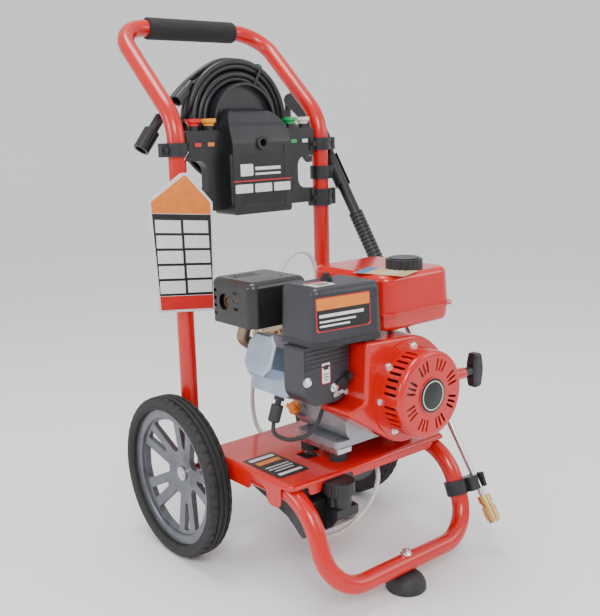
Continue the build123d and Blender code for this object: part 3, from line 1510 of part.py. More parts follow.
SOAP_X = -103.0
SOAP_HALF = 47.0
SOAP_NECK = (-91.0, 68.0)
SOAP_PROFILE = [
    (268, 208, 6), (268, 170, 12), (136, 134, 30), (97, 106, 10), (82, 113, 8), (80.5, 172, 4),
    (97.5, 177, 4), (99, 208, 6),
]
SOAP_SHOULDER = [(82, 118, 4), (60, 128, 8), (46, 146, 6), (46, 160, 3), (90, 164, 2), (100, 120, 4)]
NECK_TOP = 197.0
SOAP_CAP_R = 27.0
OUTLET = (-127.0, 160.0)

with BuildPart() as detergent_tank:
    with BuildSketch(Plane.YZ.offset(SOAP_X)):
        rounded_face(SOAP_PROFILE)
    extrude(amount=SOAP_HALF, both=True)
    with BuildSketch(Plane.YZ.offset(SOAP_NECK[0])):
        rounded_face(SOAP_SHOULDER)
    extrude(amount=24, both=True)
    with BuildSketch(Plane.XY.offset(150)):
        with Locations(SOAP_NECK):
            Circle(22)
    extrude(amount=NECK_TOP - 150)
    with BuildSketch(Plane.XY.offset(127)):
        with Locations(OUTLET):
            Circle(4)
    extrude(amount=16)
    # Hollow inside, reached through the neck
    with BuildSketch(Plane.YZ.offset(SOAP_X)) as inside:
        rounded_face(SOAP_PROFILE)
        offset(amount=-2.5, kind=Kind.INTERSECTION)
    extrude(amount=SOAP_HALF - 2.5, both=True, mode=Mode.SUBTRACT)
    with BuildSketch(Plane.XY.offset(NECK_TOP + 1)):
        with Locations(SOAP_NECK):
            Circle(19)
    extrude(amount=-60, mode=Mode.SUBTRACT)

detergent_tank.part.label = "detergent_tank"
export_step(detergent_tank.part, "parts/detergent_tank.step")

with BuildPart() as detergent_cap:
    with BuildSketch(Plane.XY.offset(182)):
        with Locations(SOAP_NECK):
            Circle(SOAP_CAP_R)
            with PolarLocations(SOAP_CAP_R + 0.8, 24):
                Circle(1.6, mode=Mode.SUBTRACT)
    extrude(amount=22)
    fillet(detergent_cap.faces().sort_by(Axis.Z)[-1].edges(), 0.8)
    with BuildSketch(Plane.XY.offset(182)):
        with Locations(SOAP_NECK):
            Circle(22 + FIT)
    extrude(amount=NECK_TOP + 0.5 - 182, mode=Mode.SUBTRACT)

detergent_cap.part.label = "detergent_cap"
export_step(detergent_cap.part, "parts/detergent_cap.step")

SOAP_HOSE_R = 4.0
soap_points = [
    (-127, 160, 127), (-125, 153, 101), (-106, 136, 83), (-74, 117, 76), (-37, 105, 86), (-5, 97, 108),
    (19, 93, 139), (34, 97, 173), (38, 122, 199), (34, 165, 203), (11, 208, 201), (-16, 252, 202),
    (-39, 294, 201), (-54, 334, 203), (-60, 348, 250), (-59, 345, 307), (-50, 342, 364), (-32, 341, 418),
    (-12, 341, 468), (8, 340, 506), (32, 340, 538), (64, 340, 551), (94, 340, 535), (107, 341, 497),
    (104, 343, 450), (BARB_X, BARB_Y, BARB_TOP),
]
soap_radii = bend_radii(soap_points)

with BuildPart() as detergent_hose:
    with BuildLine() as soap_line:
        FilletPolyline(*soap_points, radius=soap_radii)
    with BuildSketch(Plane(origin=soap_line.line @ 0, z_dir=soap_line.line % 0)):
        Circle(SOAP_HOSE_R)
    sweep()

detergent_hose.part.label = "detergent_hose"
export_step(detergent_hose.part, "parts/detergent_hose.step")
report_route("detergent_hose", soap_points, soap_radii, pi * SOAP_HOSE_R ** 2, detergent_hose.part.volume)


# ---------------------------------------------------------------- hang card

CARD_Y = 371.0
CARD_PIVOT = (-173.0, 702.0)
CARD_OUTLINE = [
    (-180, 710, 4), (-166, 710, 4), (-115, 655, 4), (-119, 455, 4), (-238, 468, 4), (-247, 668, 4),
]

with BuildPart() as hang_card:
    with BuildSketch(Plane.XZ.offset(-CARD_Y)):
        rounded_face(CARD_OUTLINE)
        with Locations(CARD_PIVOT):
            Circle(3, mode=Mode.SUBTRACT)
    extrude(amount=0.6, both=True)

hang_card.part.label = "hang_card"
export_step(hang_card.part, "parts/hang_card.step")
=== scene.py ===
import math

import bmesh
import bpy
from mathutils import Matrix, Vector
from mathutils.bvhtree import BVHTree


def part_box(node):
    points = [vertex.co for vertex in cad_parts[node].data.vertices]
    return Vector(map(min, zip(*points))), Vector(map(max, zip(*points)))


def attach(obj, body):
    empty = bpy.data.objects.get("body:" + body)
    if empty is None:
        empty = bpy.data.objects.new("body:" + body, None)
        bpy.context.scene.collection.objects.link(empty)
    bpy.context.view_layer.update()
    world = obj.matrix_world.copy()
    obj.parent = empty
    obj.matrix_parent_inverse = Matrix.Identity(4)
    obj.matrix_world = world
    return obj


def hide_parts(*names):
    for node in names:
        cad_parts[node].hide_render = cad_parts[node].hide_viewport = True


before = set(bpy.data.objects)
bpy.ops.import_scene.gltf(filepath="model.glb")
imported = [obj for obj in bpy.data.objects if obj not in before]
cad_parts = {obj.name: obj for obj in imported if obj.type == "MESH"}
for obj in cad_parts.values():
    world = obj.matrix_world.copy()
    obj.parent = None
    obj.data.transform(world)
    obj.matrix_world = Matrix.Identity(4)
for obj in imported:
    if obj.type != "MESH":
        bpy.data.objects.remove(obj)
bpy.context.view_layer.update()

MACHINE = "machine"

# Camera: a standing person's view from the front left corner of the machine,
# with a short portrait lens, tipped a little to one side as a hand-held one is.
view_from = Vector((-1.01622, -0.95626, 0.78952))
turn, rise, tip = math.radians(-39.696), math.radians(11.862), math.radians(-1.467)
back = Vector((math.sin(turn) * math.cos(rise), -math.cos(turn) * math.cos(rise), math.sin(rise)))
level = Vector((math.cos(turn), math.sin(turn), 0))
over = level.cross(-back)
cam_right = math.cos(tip) * level + math.sin(tip) * over
cam_up = -math.sin(tip) * level + math.cos(tip) * over
lens = bpy.data.cameras.new("camera")
lens.lens, lens.sensor_width = 51.22, 36
lens.clip_start, lens.clip_end = 0.02, 50
camera = bpy.data.objects.new("camera", lens)
bpy.context.scene.collection.objects.link(camera)
camera.matrix_world = Matrix.Translation(view_from) @ Matrix((cam_right, cam_up, back)).transposed().to_4x4()
bpy.context.scene.camera = camera

# High-pressure hose: 7.6 m of 12 mm rubber-covered, wire-braided hose, wound in
# four layers on the console's saddle, its end hanging behind the left upright.
HOSE_D, COIL_Y, COIL_Z = 0.012, 0.456, 0.797
LAYER_RADII, CORNERS = (0.0785, 0.0905, 0.1025, 0.1143), 18
hose_points, travelled = [], 0.0
whole_turns, first_angle = 12.8, 115 - 12.8 * 360
for k in range(int(whole_turns * CORNERS) + 1):
    turns = k / CORNERS
    layer = min(int(turns // 4), 3)
    along = min(turns - 4 * layer, 3.0)
    spread = min(max(turns - 4 * layer - 3.0, 0), 1)
    radius = LAYER_RADII[layer]
    if layer < 3:
        radius += spread * (LAYER_RADII[layer + 1] - radius)
        side = -1 if layer % 2 else 1
        y = COIL_Y + side * (0.018 - 0.012 * along)
    else:
        y = COIL_Y - 0.018 * -1 - 0.012 * min(along / 0.8, 1.0)
    a = math.radians(first_angle + 360 * turns)
    radius /= math.cos(math.pi / CORNERS)
    hose_points.append((radius * math.cos(a), y, COIL_Z + radius * math.sin(a)))
hose_points += [(-0.080, 0.462, 0.8835), (-0.109, 0.466, 0.860), (-0.136, 0.466, 0.834),
        (-0.160, 0.463, 0.806)]


def smooth_hose(name, points, diameter):
    curve = bpy.data.curves.new(name, "CURVE")
    curve.dimensions, curve.bevel_depth, curve.bevel_resolution = "3D", 1.0, 5
    curve.resolution_u, curve.use_fill_caps = 6, True
    spline = curve.splines.new("NURBS")
    spline.points.add(len(points) - 1)
    for point, place in zip(spline.points, points):
        point.co, point.radius = (*place, 1), diameter / 2
    spline.order_u, spline.use_endpoint_u = 3, True
    hose = bpy.data.objects.new(name, curve)
    bpy.context.scene.collection.objects.link(hose)
    return hose


hose = smooth_hose("pressure_hose", hose_points, HOSE_D)
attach(hose, MACHINE)
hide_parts("hose_coil", "hose_tail")

# Detergent hose: clear soft vinyl tube, 8 mm, from the soap tank up behind the
# engine and over the pump to its brass barb, where it is pushed on.
soap_route = [
    (-127, 160, 127), (-125, 153, 101), (-106, 136, 83), (-74, 117, 76), (-37, 105, 86), (-5, 97, 108),
    (19, 93, 139), (34, 97, 173), (38, 122, 199), (34, 165, 203), (11, 208, 201), (-16, 252, 202),
    (-39, 294, 201), (-54, 334, 203), (-60, 348, 250), (-59, 345, 307), (-50, 342, 364), (-32, 341, 418),
    (-12, 341, 468), (8, 340, 506), (32, 340, 538), (64, 340, 551), (94, 340, 535), (107, 341, 497),
    (104, 343, 450), (95, 345, 404),
]
soap_hose = smooth_hose("soap_hose", [tuple(c / 1000 for c in p) for p in soap_route], 0.008)
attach(soap_hose, MACHINE)
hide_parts("detergent_hose")

# Frame, handle and deck: 32 mm steel tube, bent and welded, and pressed sheet,
# all powder coated in a deep glossy red that pools and thins a little at the bends.


def finish_for(name, colour, second, grain, blend_low, blend_high, rough, metal=0.0, coat=0.0, bump=0.1,
        fine=900.0, rough_spread=0.08):
    """A surface whose colour drifts between two tones, with fine grain in its roughness and bump."""
    material = bpy.data.materials.new(name)
    material.use_nodes = True
    nodes, links = material.node_tree.nodes, material.node_tree.links
    shader = nodes["Principled BSDF"]
    shader.inputs["Metallic"].default_value = metal
    shader.inputs["Coat Weight"].default_value = coat
    shader.inputs["Coat Roughness"].default_value = 0.08
    place = nodes.new("ShaderNodeTexCoord")
    drift = nodes.new("ShaderNodeTexNoise")
    drift.inputs["Scale"].default_value, drift.inputs["Detail"].default_value = grain, 6
    links.new(place.outputs["Object"], drift.inputs["Vector"])
    tones = nodes.new("ShaderNodeValToRGB")
    tones.color_ramp.elements[0].position, tones.color_ramp.elements[0].color = blend_low, (*colour, 1)
    tones.color_ramp.elements[1].position, tones.color_ramp.elements[1].color = blend_high, (*second, 1)
    links.new(drift.outputs["Fac"], tones.inputs["Fac"])
    links.new(tones.outputs["Color"], shader.inputs["Base Color"])
    skin = nodes.new("ShaderNodeTexNoise")
    skin.inputs["Scale"].default_value, skin.inputs["Detail"].default_value = fine, 3
    links.new(place.outputs["Object"], skin.inputs["Vector"])
    sheen = nodes.new("ShaderNodeMapRange")
    sheen.inputs["To Min"].default_value = max(rough - rough_spread, 0.02)
    sheen.inputs["To Max"].default_value = rough + rough_spread
    links.new(drift.outputs["Fac"], sheen.inputs["Value"])
    links.new(sheen.outputs["Result"], shader.inputs["Roughness"])
    dents = nodes.new("ShaderNodeBump")
    dents.inputs["Strength"].default_value, dents.inputs["Distance"].default_value = bump, 0.0006
    links.new(skin.outputs["Fac"], dents.inputs["Height"])
    links.new(dents.outputs["Normal"], shader.inputs["Normal"])
    return material


def dress(material, *names):
    """Gives CAD nodes their finish, in every material slot they have."""
    for name in names:
        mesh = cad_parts[name].data
        if not mesh.materials:
            mesh.materials.append(material)
        for k in range(len(mesh.materials)):
            mesh.materials[k] = material


red_paint = finish_for("red_powder_coat", (0.60, 0.004, 0.0015), (0.50, 0.003, 0.001), 7, 0.35, 0.7, 0.26,
                       coat=0.25, bump=0.06, fine=420)
dress(red_paint, "lower_frame", "handle_frame", "deck")

foam = finish_for("foam_grip", (0.012, 0.012, 0.014), (0.024, 0.024, 0.026), 160, 0.3, 0.75, 0.85, bump=0.7,
        fine=700)
dress(foam, "handle_grip")


def lathe(name, outline, steps, centre, axis, material, body, wave=None):
    """Turns (radius, height) points round an axis; wave(k, point) changes a point's radius."""
    mesh, grid = bmesh.new(), []
    turn_to = Vector(axis).to_track_quat("Z", "Y").to_matrix()
    for k in range(steps):
        a, ring = 2 * math.pi * k / steps, []
        for i, (radius, height) in enumerate(outline):
            r = radius + (wave(k, i) if wave else 0)
            ring.append(mesh.verts.new(turn_to @ Vector((r * math.cos(a), r * math.sin(a),
                    height)) + Vector(centre)))
        grid.append(ring)
    count = len(outline)
    for k in range(steps):
        for i in range(count - 1):
            mesh.faces.new((grid[k][i], grid[(k + 1) % steps][i], grid[(k + 1) % steps][i + 1],
                    grid[k][i + 1]))
    bmesh.ops.remove_doubles(mesh, verts=mesh.verts, dist=1e-6)
    bmesh.ops.recalc_face_normals(mesh, faces=mesh.faces)
    for face in mesh.faces:
        face.smooth = True
    data = bpy.data.meshes.new(name)
    mesh.to_mesh(data)
    mesh.free()
    data.set_sharp_from_angle(angle=math.radians(32))
    data.materials.append(material)
    piece = bpy.data.objects.new(name, data)
    bpy.context.scene.collection.objects.link(piece)
    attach(piece, body)
    return piece


# Wheels: 12 in moulded tyres with shoulder lugs, on pressed rims painted silver
# grey, held on a plain steel axle.
tyre_rubber = finish_for("tyre_rubber", (0.012, 0.012, 0.012), (0.026, 0.025, 0.025), 28, 0.3, 0.8, 0.72,
        bump=0.35, fine=500)
rim_paint = finish_for("rim_grey_paint", (0.11, 0.115, 0.135), (0.16, 0.165, 0.185), 40, 0.3, 0.7, 0.34,
        metal=0.5, coat=0.2, bump=0.1)
dress(rim_paint, "left_rim", "right_rim")
TYRE_R, TYRE_HALF, BEAD_R = 0.1523, 0.0234, 0.1285
SIDE_LINE = [(BEAD_R, 0.0150), (BEAD_R, 0.0185), (0.1300, 0.0205), (0.1325, 0.0218), (0.1332, 0.0228),
        (0.1345, 0.0228),
             (0.1352, 0.0222), (0.1400, 0.0232), (0.1450, 0.0226), (0.1480, 0.0208), (0.1506, 0.0178),
             (0.1516, 0.0150),
             (0.1521, 0.0118), (0.1521, 0.0116), (0.1494, 0.0112), (0.1494, 0.0086), (TYRE_R, 0.0082),
             (TYRE_R, 0.0022),
             (0.1496, 0.0018)]
TYRE_LINE = SIDE_LINE + [(radius, -height) for radius, height in reversed(SIDE_LINE)] + SIDE_LINE[:1]
LUG_POINTS = {8: 0.0, 9: -0.0016, 10: -0.0026, 11: -0.0028, 12: -0.0026}
LUG_POINTS.update({2 * len(SIDE_LINE) - 1 - i: depth for i, depth in LUG_POINTS.items()})


def shoulder_lugs(k, i):
    """Radius change that cuts the grooves between the shoulder lugs, staggered from side to side."""
    other_side = i >= len(SIDE_LINE)
    return LUG_POINTS.get(i, 0.0) if (k + (3 if other_side else 0)) % 6 < 2 else 0.0


for side, body in (("left", "left_wheel"), ("right", "right_wheel")):
    low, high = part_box(side + "_tyre")
    tyre = lathe(side + "_tyre_treaded", TYRE_LINE, 288, (low + high) / 2, (1, 0, 0), tyre_rubber, body,
                 shoulder_lugs)
    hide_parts(side + "_tyre")
steel = finish_for("plated_steel", (0.52, 0.53, 0.55), (0.62, 0.62, 0.63), 60, 0.3, 0.7, 0.27, metal=1.0,
        bump=0.12, fine=1500)
dress(steel, "axle", "engine_rails")

# Foot: a moulded black rubber bump stop under the front loop, on a plated bolt.
black_rubber = finish_for("black_rubber", (0.018, 0.018, 0.019), (0.030, 0.030, 0.031), 60, 0.3, 0.8, 0.6,
        bump=0.3, fine=650)
dress(black_rubber, "rubber_foot", "engine_mounts", "spark_plug")
bright_plate = finish_for("bright_zinc_plate", (0.74, 0.75, 0.77), (0.82, 0.82, 0.83), 90, 0.3, 0.7, 0.16,
        metal=1.0, bump=0.05)
dress(bright_plate, "foot_bolt")

# Console, clamps and small mouldings: black filled polypropylene with a finely
# sparked mould texture, a touch greyer where it has been handled.
black_plastic = finish_for("black_moulded_plastic", (0.010, 0.010, 0.012), (0.019, 0.020, 0.023), 22, 0.3,
        0.75, 0.36, bump=0.28, fine=1300)
dress(black_plastic, "console", "console_clamps", "lance_holders", "unloader_knob", "gun_body",
      "lance_sleeve", "hose_connectors", "recoil_handle", "fuel_cap", "filter_knob", "air_filter_base",
      "choke_lever",
      "detergent_cap")
grey_plastic = finish_for("grey_moulded_plastic", (0.022, 0.023, 0.028), (0.034, 0.035, 0.041), 18, 0.3, 0.75,
        0.34, bump=0.22, fine=1100)
dress(grey_plastic, "air_filter_cover", "gun_trigger", "intake_cover")
blown_plastic = finish_for("blown_black_plastic", (0.009, 0.009, 0.011), (0.017, 0.017, 0.019), 14, 0.3, 0.7,
        0.28, bump=0.2, fine=800)
dress(blown_plastic, "detergent_tank")


def panel(name, centre, across, upward, width, height, thick, corner, material, body, cuts=5):
    """A thin plate with rounded corners, centred on a face and lying against it."""
    x, y = Vector(across).normalized(), Vector(upward).normalized()
    z = x.cross(y)
    mesh, rim = bmesh.new(), []
    for sx, sy, start in ((1, 1, 0), (-1, 1, 90), (-1, -1, 180), (1, -1, 270)):
        for k in range(cuts):
            a = math.radians(start + 90 * k / (cuts - 1))
            rim.append((sx * (width / 2 - corner) + corner * math.cos(a),
                    sy * (height / 2 - corner) + corner * math.sin(a)))
    rings = []
    for inset, lift in ((0, 0), (0, thick * 0.7), (min(thick * 0.3, corner * 0.5), thick)):
        ring = []
        for u, v in rim:
            scale_u, scale_v = (width / 2 - inset) / (width / 2), (height / 2 - inset) / (height / 2)
            ring.append(mesh.verts.new(Vector(centre) + x * u * scale_u + y * v * scale_v + z * lift))
        rings.append(ring)
    for low, high in zip(rings, rings[1:]):
        for k in range(len(low)):
            mesh.faces.new((low[k], low[(k + 1) % len(low)], high[(k + 1) % len(low)], high[k]))
    mesh.faces.new(rings[-1])
    mesh.faces.new(list(reversed(rings[0])))
    data = bpy.data.meshes.new(name)
    mesh.to_mesh(data)
    mesh.free()
    data.materials.append(material)
    piece = bpy.data.objects.new(name, data)
    bpy.context.scene.collection.objects.link(piece)
    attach(piece, body)
    return piece


# Quick-change nozzles: coloured caps, one colour for each spray angle, moulded
# over steel stems and pushed into the console's rubber-lined seats.
for colour, tone, deep in (("red", (0.70, 0.015, 0.012), (0.60, 0.012, 0.010)),
        ("yellow", (0.83, 0.36, 0.015), (0.76, 0.29, 0.012)),
                           ("green", (0.015, 0.36, 0.08), (0.012, 0.29, 0.06)),
                           ("white", (0.78, 0.75, 0.68), (0.70, 0.66, 0.60))):
    dress(finish_for(colour + "_nozzle_plastic", tone, deep, 60, 0.3, 0.7, 0.3, coat=0.2, bump=0.08),
            "nozzle_" + colour)

# Hose covers: the pressure hose is smooth black rubber with the faint texture of
# the cloth that it was cured in; the soap hose is soft clear vinyl.
hose_cover = finish_for("hose_cover", (0.009, 0.009, 0.011), (0.019, 0.019, 0.022), 70, 0.3, 0.8, 0.34,
        bump=0.3, fine=1100)
hose.data.materials.append(hose_cover)
clear_vinyl = finish_for("clear_vinyl", (0.62, 0.58, 0.56), (0.72, 0.69, 0.67), 30, 0.3, 0.7, 0.22, coat=0.3,
        bump=0.05)
soap_hose.data.materials.append(clear_vinyl)

# Lance and coupler: polished stainless tube, pressed into a machined brass quick
# coupler. The pump's head is forged brass, and the small levers are moulded.
stainless = finish_for("stainless_tube", (0.60, 0.60, 0.60), (0.68, 0.67, 0.66), 120, 0.3, 0.7, 0.2,
        metal=1.0, bump=0.08, fine=2000)
dress(stainless, "lance_tube")
brass = finish_for("turned_brass", (0.72, 0.50, 0.20), (0.60, 0.40, 0.15), 45, 0.3, 0.75, 0.28, metal=1.0,
        bump=0.12, fine=1600)
dress(brass, "lance_coupler", "coupler_collar")
forged_brass = finish_for("forged_brass", (0.55, 0.41, 0.19), (0.42, 0.31, 0.15), 30, 0.3, 0.75, 0.42,
        metal=1.0, bump=0.35, fine=700)
dress(forged_brass, "pump_head")
dress(finish_for("lock_red_plastic", (0.68, 0.03, 0.02), (0.58, 0.02, 0.02), 60, 0.3, 0.7, 0.3, bump=0.05),
        "trigger_lock", "engine_switch")

# Engine castings: die-cast aluminium, sand-blasted, slightly blue-grey on the
# head and valve cover and darker round the crankcase.
cast_grey = finish_for("cast_aluminium", (0.33, 0.35, 0.38), (0.44, 0.46, 0.49), 35, 0.25, 0.75, 0.46,
        metal=0.85, bump=0.5, fine=520)
dress(cast_grey, "crankcase", "pump_body", "carburettor")
cast_blue = finish_for("cast_valve_cover", (0.36, 0.42, 0.53), (0.46, 0.53, 0.64), 30, 0.25, 0.75, 0.38,
        metal=0.85, bump=0.4, fine=520)
dress(cast_blue, "cylinder_head", "valve_cover")
dress(finish_for("cast_iron", (0.10, 0.10, 0.105), (0.17, 0.165, 0.16), 40, 0.3, 0.7, 0.5, metal=0.8,
        bump=0.4, fine=600), "flywheel")
dress(steel, "crankshaft", "fuel_lever")
dress(finish_for("pulley_nylon", (0.42, 0.41, 0.37), (0.48, 0.47, 0.42), 40, 0.3, 0.7, 0.45, bump=0.1),
        "recoil_pulley")

# Muffler: welded steel can, browned by heat, behind a black painted steel guard.
heat_brown = finish_for("heat_browned_steel", (0.20, 0.12, 0.075), (0.34, 0.25, 0.18), 26, 0.25, 0.75, 0.42,
        metal=0.8, bump=0.3, fine=500)
dress(heat_brown, "muffler")
guard_paint = finish_for("guard_black_paint", (0.010, 0.010, 0.011), (0.018, 0.017, 0.017), 25, 0.3, 0.75,
        0.34, coat=0.2, bump=0.15, fine=500)
dress(guard_paint, "muffler_guard")

# Tank, fan shroud and starter cover: pressed and painted steel, the tank with
# a rolled seam, and an orange dipstick cap low on the crankcase.
tank_paint = finish_for("red_tank_paint", (0.62, 0.004, 0.0015), (0.52, 0.003, 0.001), 6, 0.35, 0.7, 0.2,
        coat=0.35, bump=0.04, fine=300)
dress(tank_paint, "fuel_tank", "fan_shroud", "recoil_cover")
dress(finish_for("orange_cap_plastic", (0.82, 0.24, 0.015), (0.74, 0.19, 0.012), 50, 0.3, 0.7, 0.32,
        bump=0.1), "oil_dipstick")

# Labels: printed vinyl, generic blocks and bars only, stuck on the console, the
# filter cover, the deck and the intake cover.
ink_black = finish_for("label_black", (0.006, 0.006, 0.007), (0.012, 0.012, 0.013), 20, 0.3, 0.7, 0.42,
        bump=0.02)
ink_white = finish_for("label_white", (0.78, 0.78, 0.76), (0.70, 0.70, 0.68), 60, 0.3, 0.7, 0.4, bump=0.02)
ink_red = finish_for("label_red", (0.66, 0.02, 0.02), (0.58, 0.02, 0.02), 60, 0.3, 0.7, 0.35, bump=0.02)
ink_orange = finish_for("label_orange", (0.80, 0.23, 0.02), (0.72, 0.18, 0.02), 60, 0.3, 0.7, 0.35, bump=0.02)


def print_blocks(name, centre, across, upward, blocks, body, lift=0.0006):
    """Printed blocks (u, v, width, height, ink) on a label, in metres from its centre."""
    x, y = Vector(across).normalized(), Vector(upward).normalized()
    z = x.cross(y)
    for k, (u, v, w, h, ink) in enumerate(blocks):
        panel(f"{name}_{k}", Vector(centre) + x * u + y * v + z * (lift + 0.00008 * k), x, y, w, h, 0.0003,
                min(w, h) * 0.12, ink, body, 3)


def skin_of(node, start, towards):
    """Where a line first meets a CAD node's surface: the point and its outward normal."""
    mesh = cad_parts[node].data
    tree = BVHTree.FromPolygons([v.co for v in mesh.vertices], [tuple(f.vertices) for f in mesh.polygons])
    point, normal, _, _ = tree.ray_cast(Vector(start), Vector(towards).normalized())
    if point is None:
        return Vector(start), -Vector(towards).normalized()
    return point, normal if normal.dot(Vector(towards)) < 0 else -normal


def sticker(name, node, start, towards, upward, width, height, ground, blocks, body=MACHINE, thick=0.0005):
    """A printed label pressed on a CAD node's face, with its printed blocks on it."""
    point, normal = skin_of(node, start, towards)
    up_along = (Vector(upward) - normal * normal.dot(Vector(upward))).normalized()
    across = up_along.cross(normal)
    base = panel(name, point + normal * 0.0002, across, up_along, width, height, thick, 0.0025, ground, body)
    print_blocks(name + "_print", point + normal * 0.0002, across, up_along, blocks, body,
            thick + 0.0001)
    return base


sticker("filter_label", "air_filter_cover", (-0.1035, -0.4, 0.499), (0, 1, 0), (0, 0, 1), 0.105, 0.054,
        ink_red,
        [(0, 0, 0.102, 0.051, ink_black), (0, 0.0165, 0.102, 0.018, ink_orange),
        (-0.004, -0.002, 0.086, 0.005, ink_white),
         (-0.012, -0.011, 0.070, 0.003, ink_white), (-0.018, -0.018, 0.058, 0.003, ink_white)],
         "filter_cover")
sticker("filter_notice", "air_filter_cover", (-0.120, 0.075, 0.9), (0, 0, -1), (0, 1, 0), 0.040, 0.034,
        ink_white,
        [(0, 0.011, 0.036, 0.007, ink_red), (0, 0.001, 0.030, 0.002, ink_black),
        (0, -0.005, 0.030, 0.002, ink_black),
         (0, -0.011, 0.022, 0.002, ink_black)], "filter_cover")
sticker("intake_label", "intake_cover", (-0.1225, -0.4, 0.3985), (0, 1, 0), (0, 0, 1), 0.019, 0.037, ink_red,
        [(0, 0, 0.016, 0.034, ink_white), (0, 0.009, 0.011, 0.008, ink_black),
        (0, -0.002, 0.011, 0.0015, ink_black),
         (0, -0.007, 0.011, 0.0015, ink_black), (0, -0.012, 0.008, 0.0015, ink_black)])
sticker("deck_label", "deck", (-0.143, 0.172, 0.5), (0, 0, -1), (0, 1, 0), 0.064, 0.105, ink_black,
        [(0, 0.040, 0.052, 0.010, ink_white), (0, 0.020, 0.050, 0.014, ink_orange),
        (0, -0.004, 0.050, 0.003, ink_white),
         (0, -0.014, 0.050, 0.003, ink_white), (0, -0.024, 0.040, 0.003, ink_white),
         (0, -0.040, 0.050, 0.008, ink_white)])
sticker("console_label", "console", (0.0, 0.1, 0.692), (0, 1, 0), (0, 0, 1), 0.150, 0.092, ink_black,
        [(-0.045, 0.016, 0.044, 0.022, ink_white), (0.012, 0.018, 0.060, 0.006, ink_white),
        (0.012, 0.008, 0.060, 0.004, ink_white),
         (0, -0.004, 0.138, 0.002, ink_red), (-0.045, -0.018, 0.040, 0.016, ink_white),
         (0.0, -0.018, 0.040, 0.016, ink_white),
         (0.045, -0.018, 0.040, 0.016, ink_white)])
for first, second, x, z in ((ink_red, ink_orange, -0.112, 0.757),
        (finish_for("label_green", (0.02, 0.40, 0.10), (0.02, 0.34, 0.08), 60, 0.3, 0.7, 0.35), ink_white,
        0.112, 0.757)):
    sticker(f"nozzle_key_{'left' if x < 0 else 'right'}", "console", (x, 0.1, z), (0, 1, 0), (0, 0, 1), 0.052,
            0.012, ink_black,
            [(-0.014, 0, 0.014, 0.007, first), (0.014, 0, 0.014, 0.007, second)])

# Filler notice: a folded card held under the fuel cap, tan paper with a blue
# head and plain printed bars.
tan_card = finish_for("tan_card", (0.55, 0.40, 0.22), (0.48, 0.34, 0.18), 30, 0.3, 0.7, 0.55, bump=0.1)
blue_card = finish_for("blue_card", (0.05, 0.16, 0.35), (0.04, 0.13, 0.30), 30, 0.3, 0.7, 0.5, bump=0.1)
sticker("filler_notice", "fuel_tank", (0.030, 0.075, 0.9), (0, 0, -1), (-0.35, 1, 0), 0.060, 0.095, tan_card,
        [(0, 0.036, 0.058, 0.020, blue_card), (0, -0.005, 0.048, 0.003, ink_white),
        (0, -0.014, 0.048, 0.003, ink_white),
         (0, -0.023, 0.036, 0.003, ink_white)])

# Bolts: zinc-plated hexagon bolts with pressed washers. They hold the recoil
# starter's flange to the shroud and the intake cover to the carburettor.
def hexagon_bolt(name, node, start, towards, radius=0.0062, body=MACHINE):
    point, normal = skin_of(node, start, towards)
    outline = [(0.0, 0.0), (radius * 1.35, 0.0), (radius * 1.35, 0.0011), (radius, 0.0013), (radius, 0.0052),
               (radius * 0.80, 0.0060), (0.0, 0.0060)]

    def flats(k, i):
        """Pulls the head's round outline in to six flats."""
        off_middle = math.radians(10 * k % 60 - 30)
        return radius * (0.866 / math.cos(off_middle) - 1) if i in (3, 4) else 0.0

    lathe(name, outline, 36, point - normal * 0.0002, normal, bright_plate, body, flats)


for k, angle in enumerate((30, 87, 137, 184, 236, 300)):
    hexagon_bolt(f"starter_bolt_{k}", "recoil_cover", (0.035 + 0.075 * math.cos(math.radians(angle)), -0.4,
                 0.345 + 0.075 * math.sin(math.radians(angle))), (0, 1, 0), 0.0052)
for k, (x, z) in enumerate(((-0.162, 0.390), (-0.105, 0.370))):
    hexagon_bolt(f"intake_bolt_{k}", "intake_cover", (x, -0.4, z), (0, 1, 0), 0.0058)
disc_point, disc_normal = skin_of("recoil_cover", (0.035, -0.4, 0.345), (0, 1, 0))
lathe("starter_badge", [(0, 0), (0.029, 0), (0.029, 0.0006), (0.0285, 0.0009), (0, 0.0009)], 64, disc_point,
        disc_normal,
      ink_black, MACHINE)
lathe("starter_badge_ring", [(0.0235, 0.0005), (0.0235, 0.0013), (0.0250, 0.0013), (0.0250, 0.0005),
        (0.0235, 0.0005)], 64, disc_point, disc_normal,
      ink_white, MACHINE)

# Hose ties: three thin black nylon straps, pulled tight round the coil's bundle
# so that its four layers stay together on the saddle.
def strap_round_coil(name, angle):
    mesh, ring = bmesh.new(), []
    out = Vector((math.cos(angle), 0, math.sin(angle)))
    along = Vector((-math.sin(angle), 0, math.cos(angle)))
    middle = Vector((0, COIL_Y, COIL_Z)) + out * 0.0964
    for k in range(48):
        a = 2 * math.pi * k / 48
        c, d = math.cos(a), math.sin(a)
        reach = 0.0243 / (abs(c) ** 5 + abs(d) ** 5) ** 0.2
        ring.append([mesh.verts.new(middle + (out * c + Vector((0, 1, 0)) * d) * (reach + t) + along * w)
                     for t, w in ((0, -0.0028), (0.0010, -0.0024), (0.0010, 0.0024), (0, 0.0028))])
    for k in range(48):
        for i in range(4):
            j = (i + 1) % 4
            mesh.faces.new((ring[k][i], ring[(k + 1) % 48][i], ring[(k + 1) % 48][j], ring[k][j]))
    bmesh.ops.recalc_face_normals(mesh, faces=mesh.faces)
    data = bpy.data.meshes.new(name)
    mesh.to_mesh(data)
    mesh.free()
    data.materials.append(ink_black)
    strap = bpy.data.objects.new(name, data)
    bpy.context.scene.collection.objects.link(strap)
    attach(strap, MACHINE)


for k, degrees in enumerate((62, 178, 318)):
    strap_round_coil(f"hose_tie_{k}", math.radians(degrees))

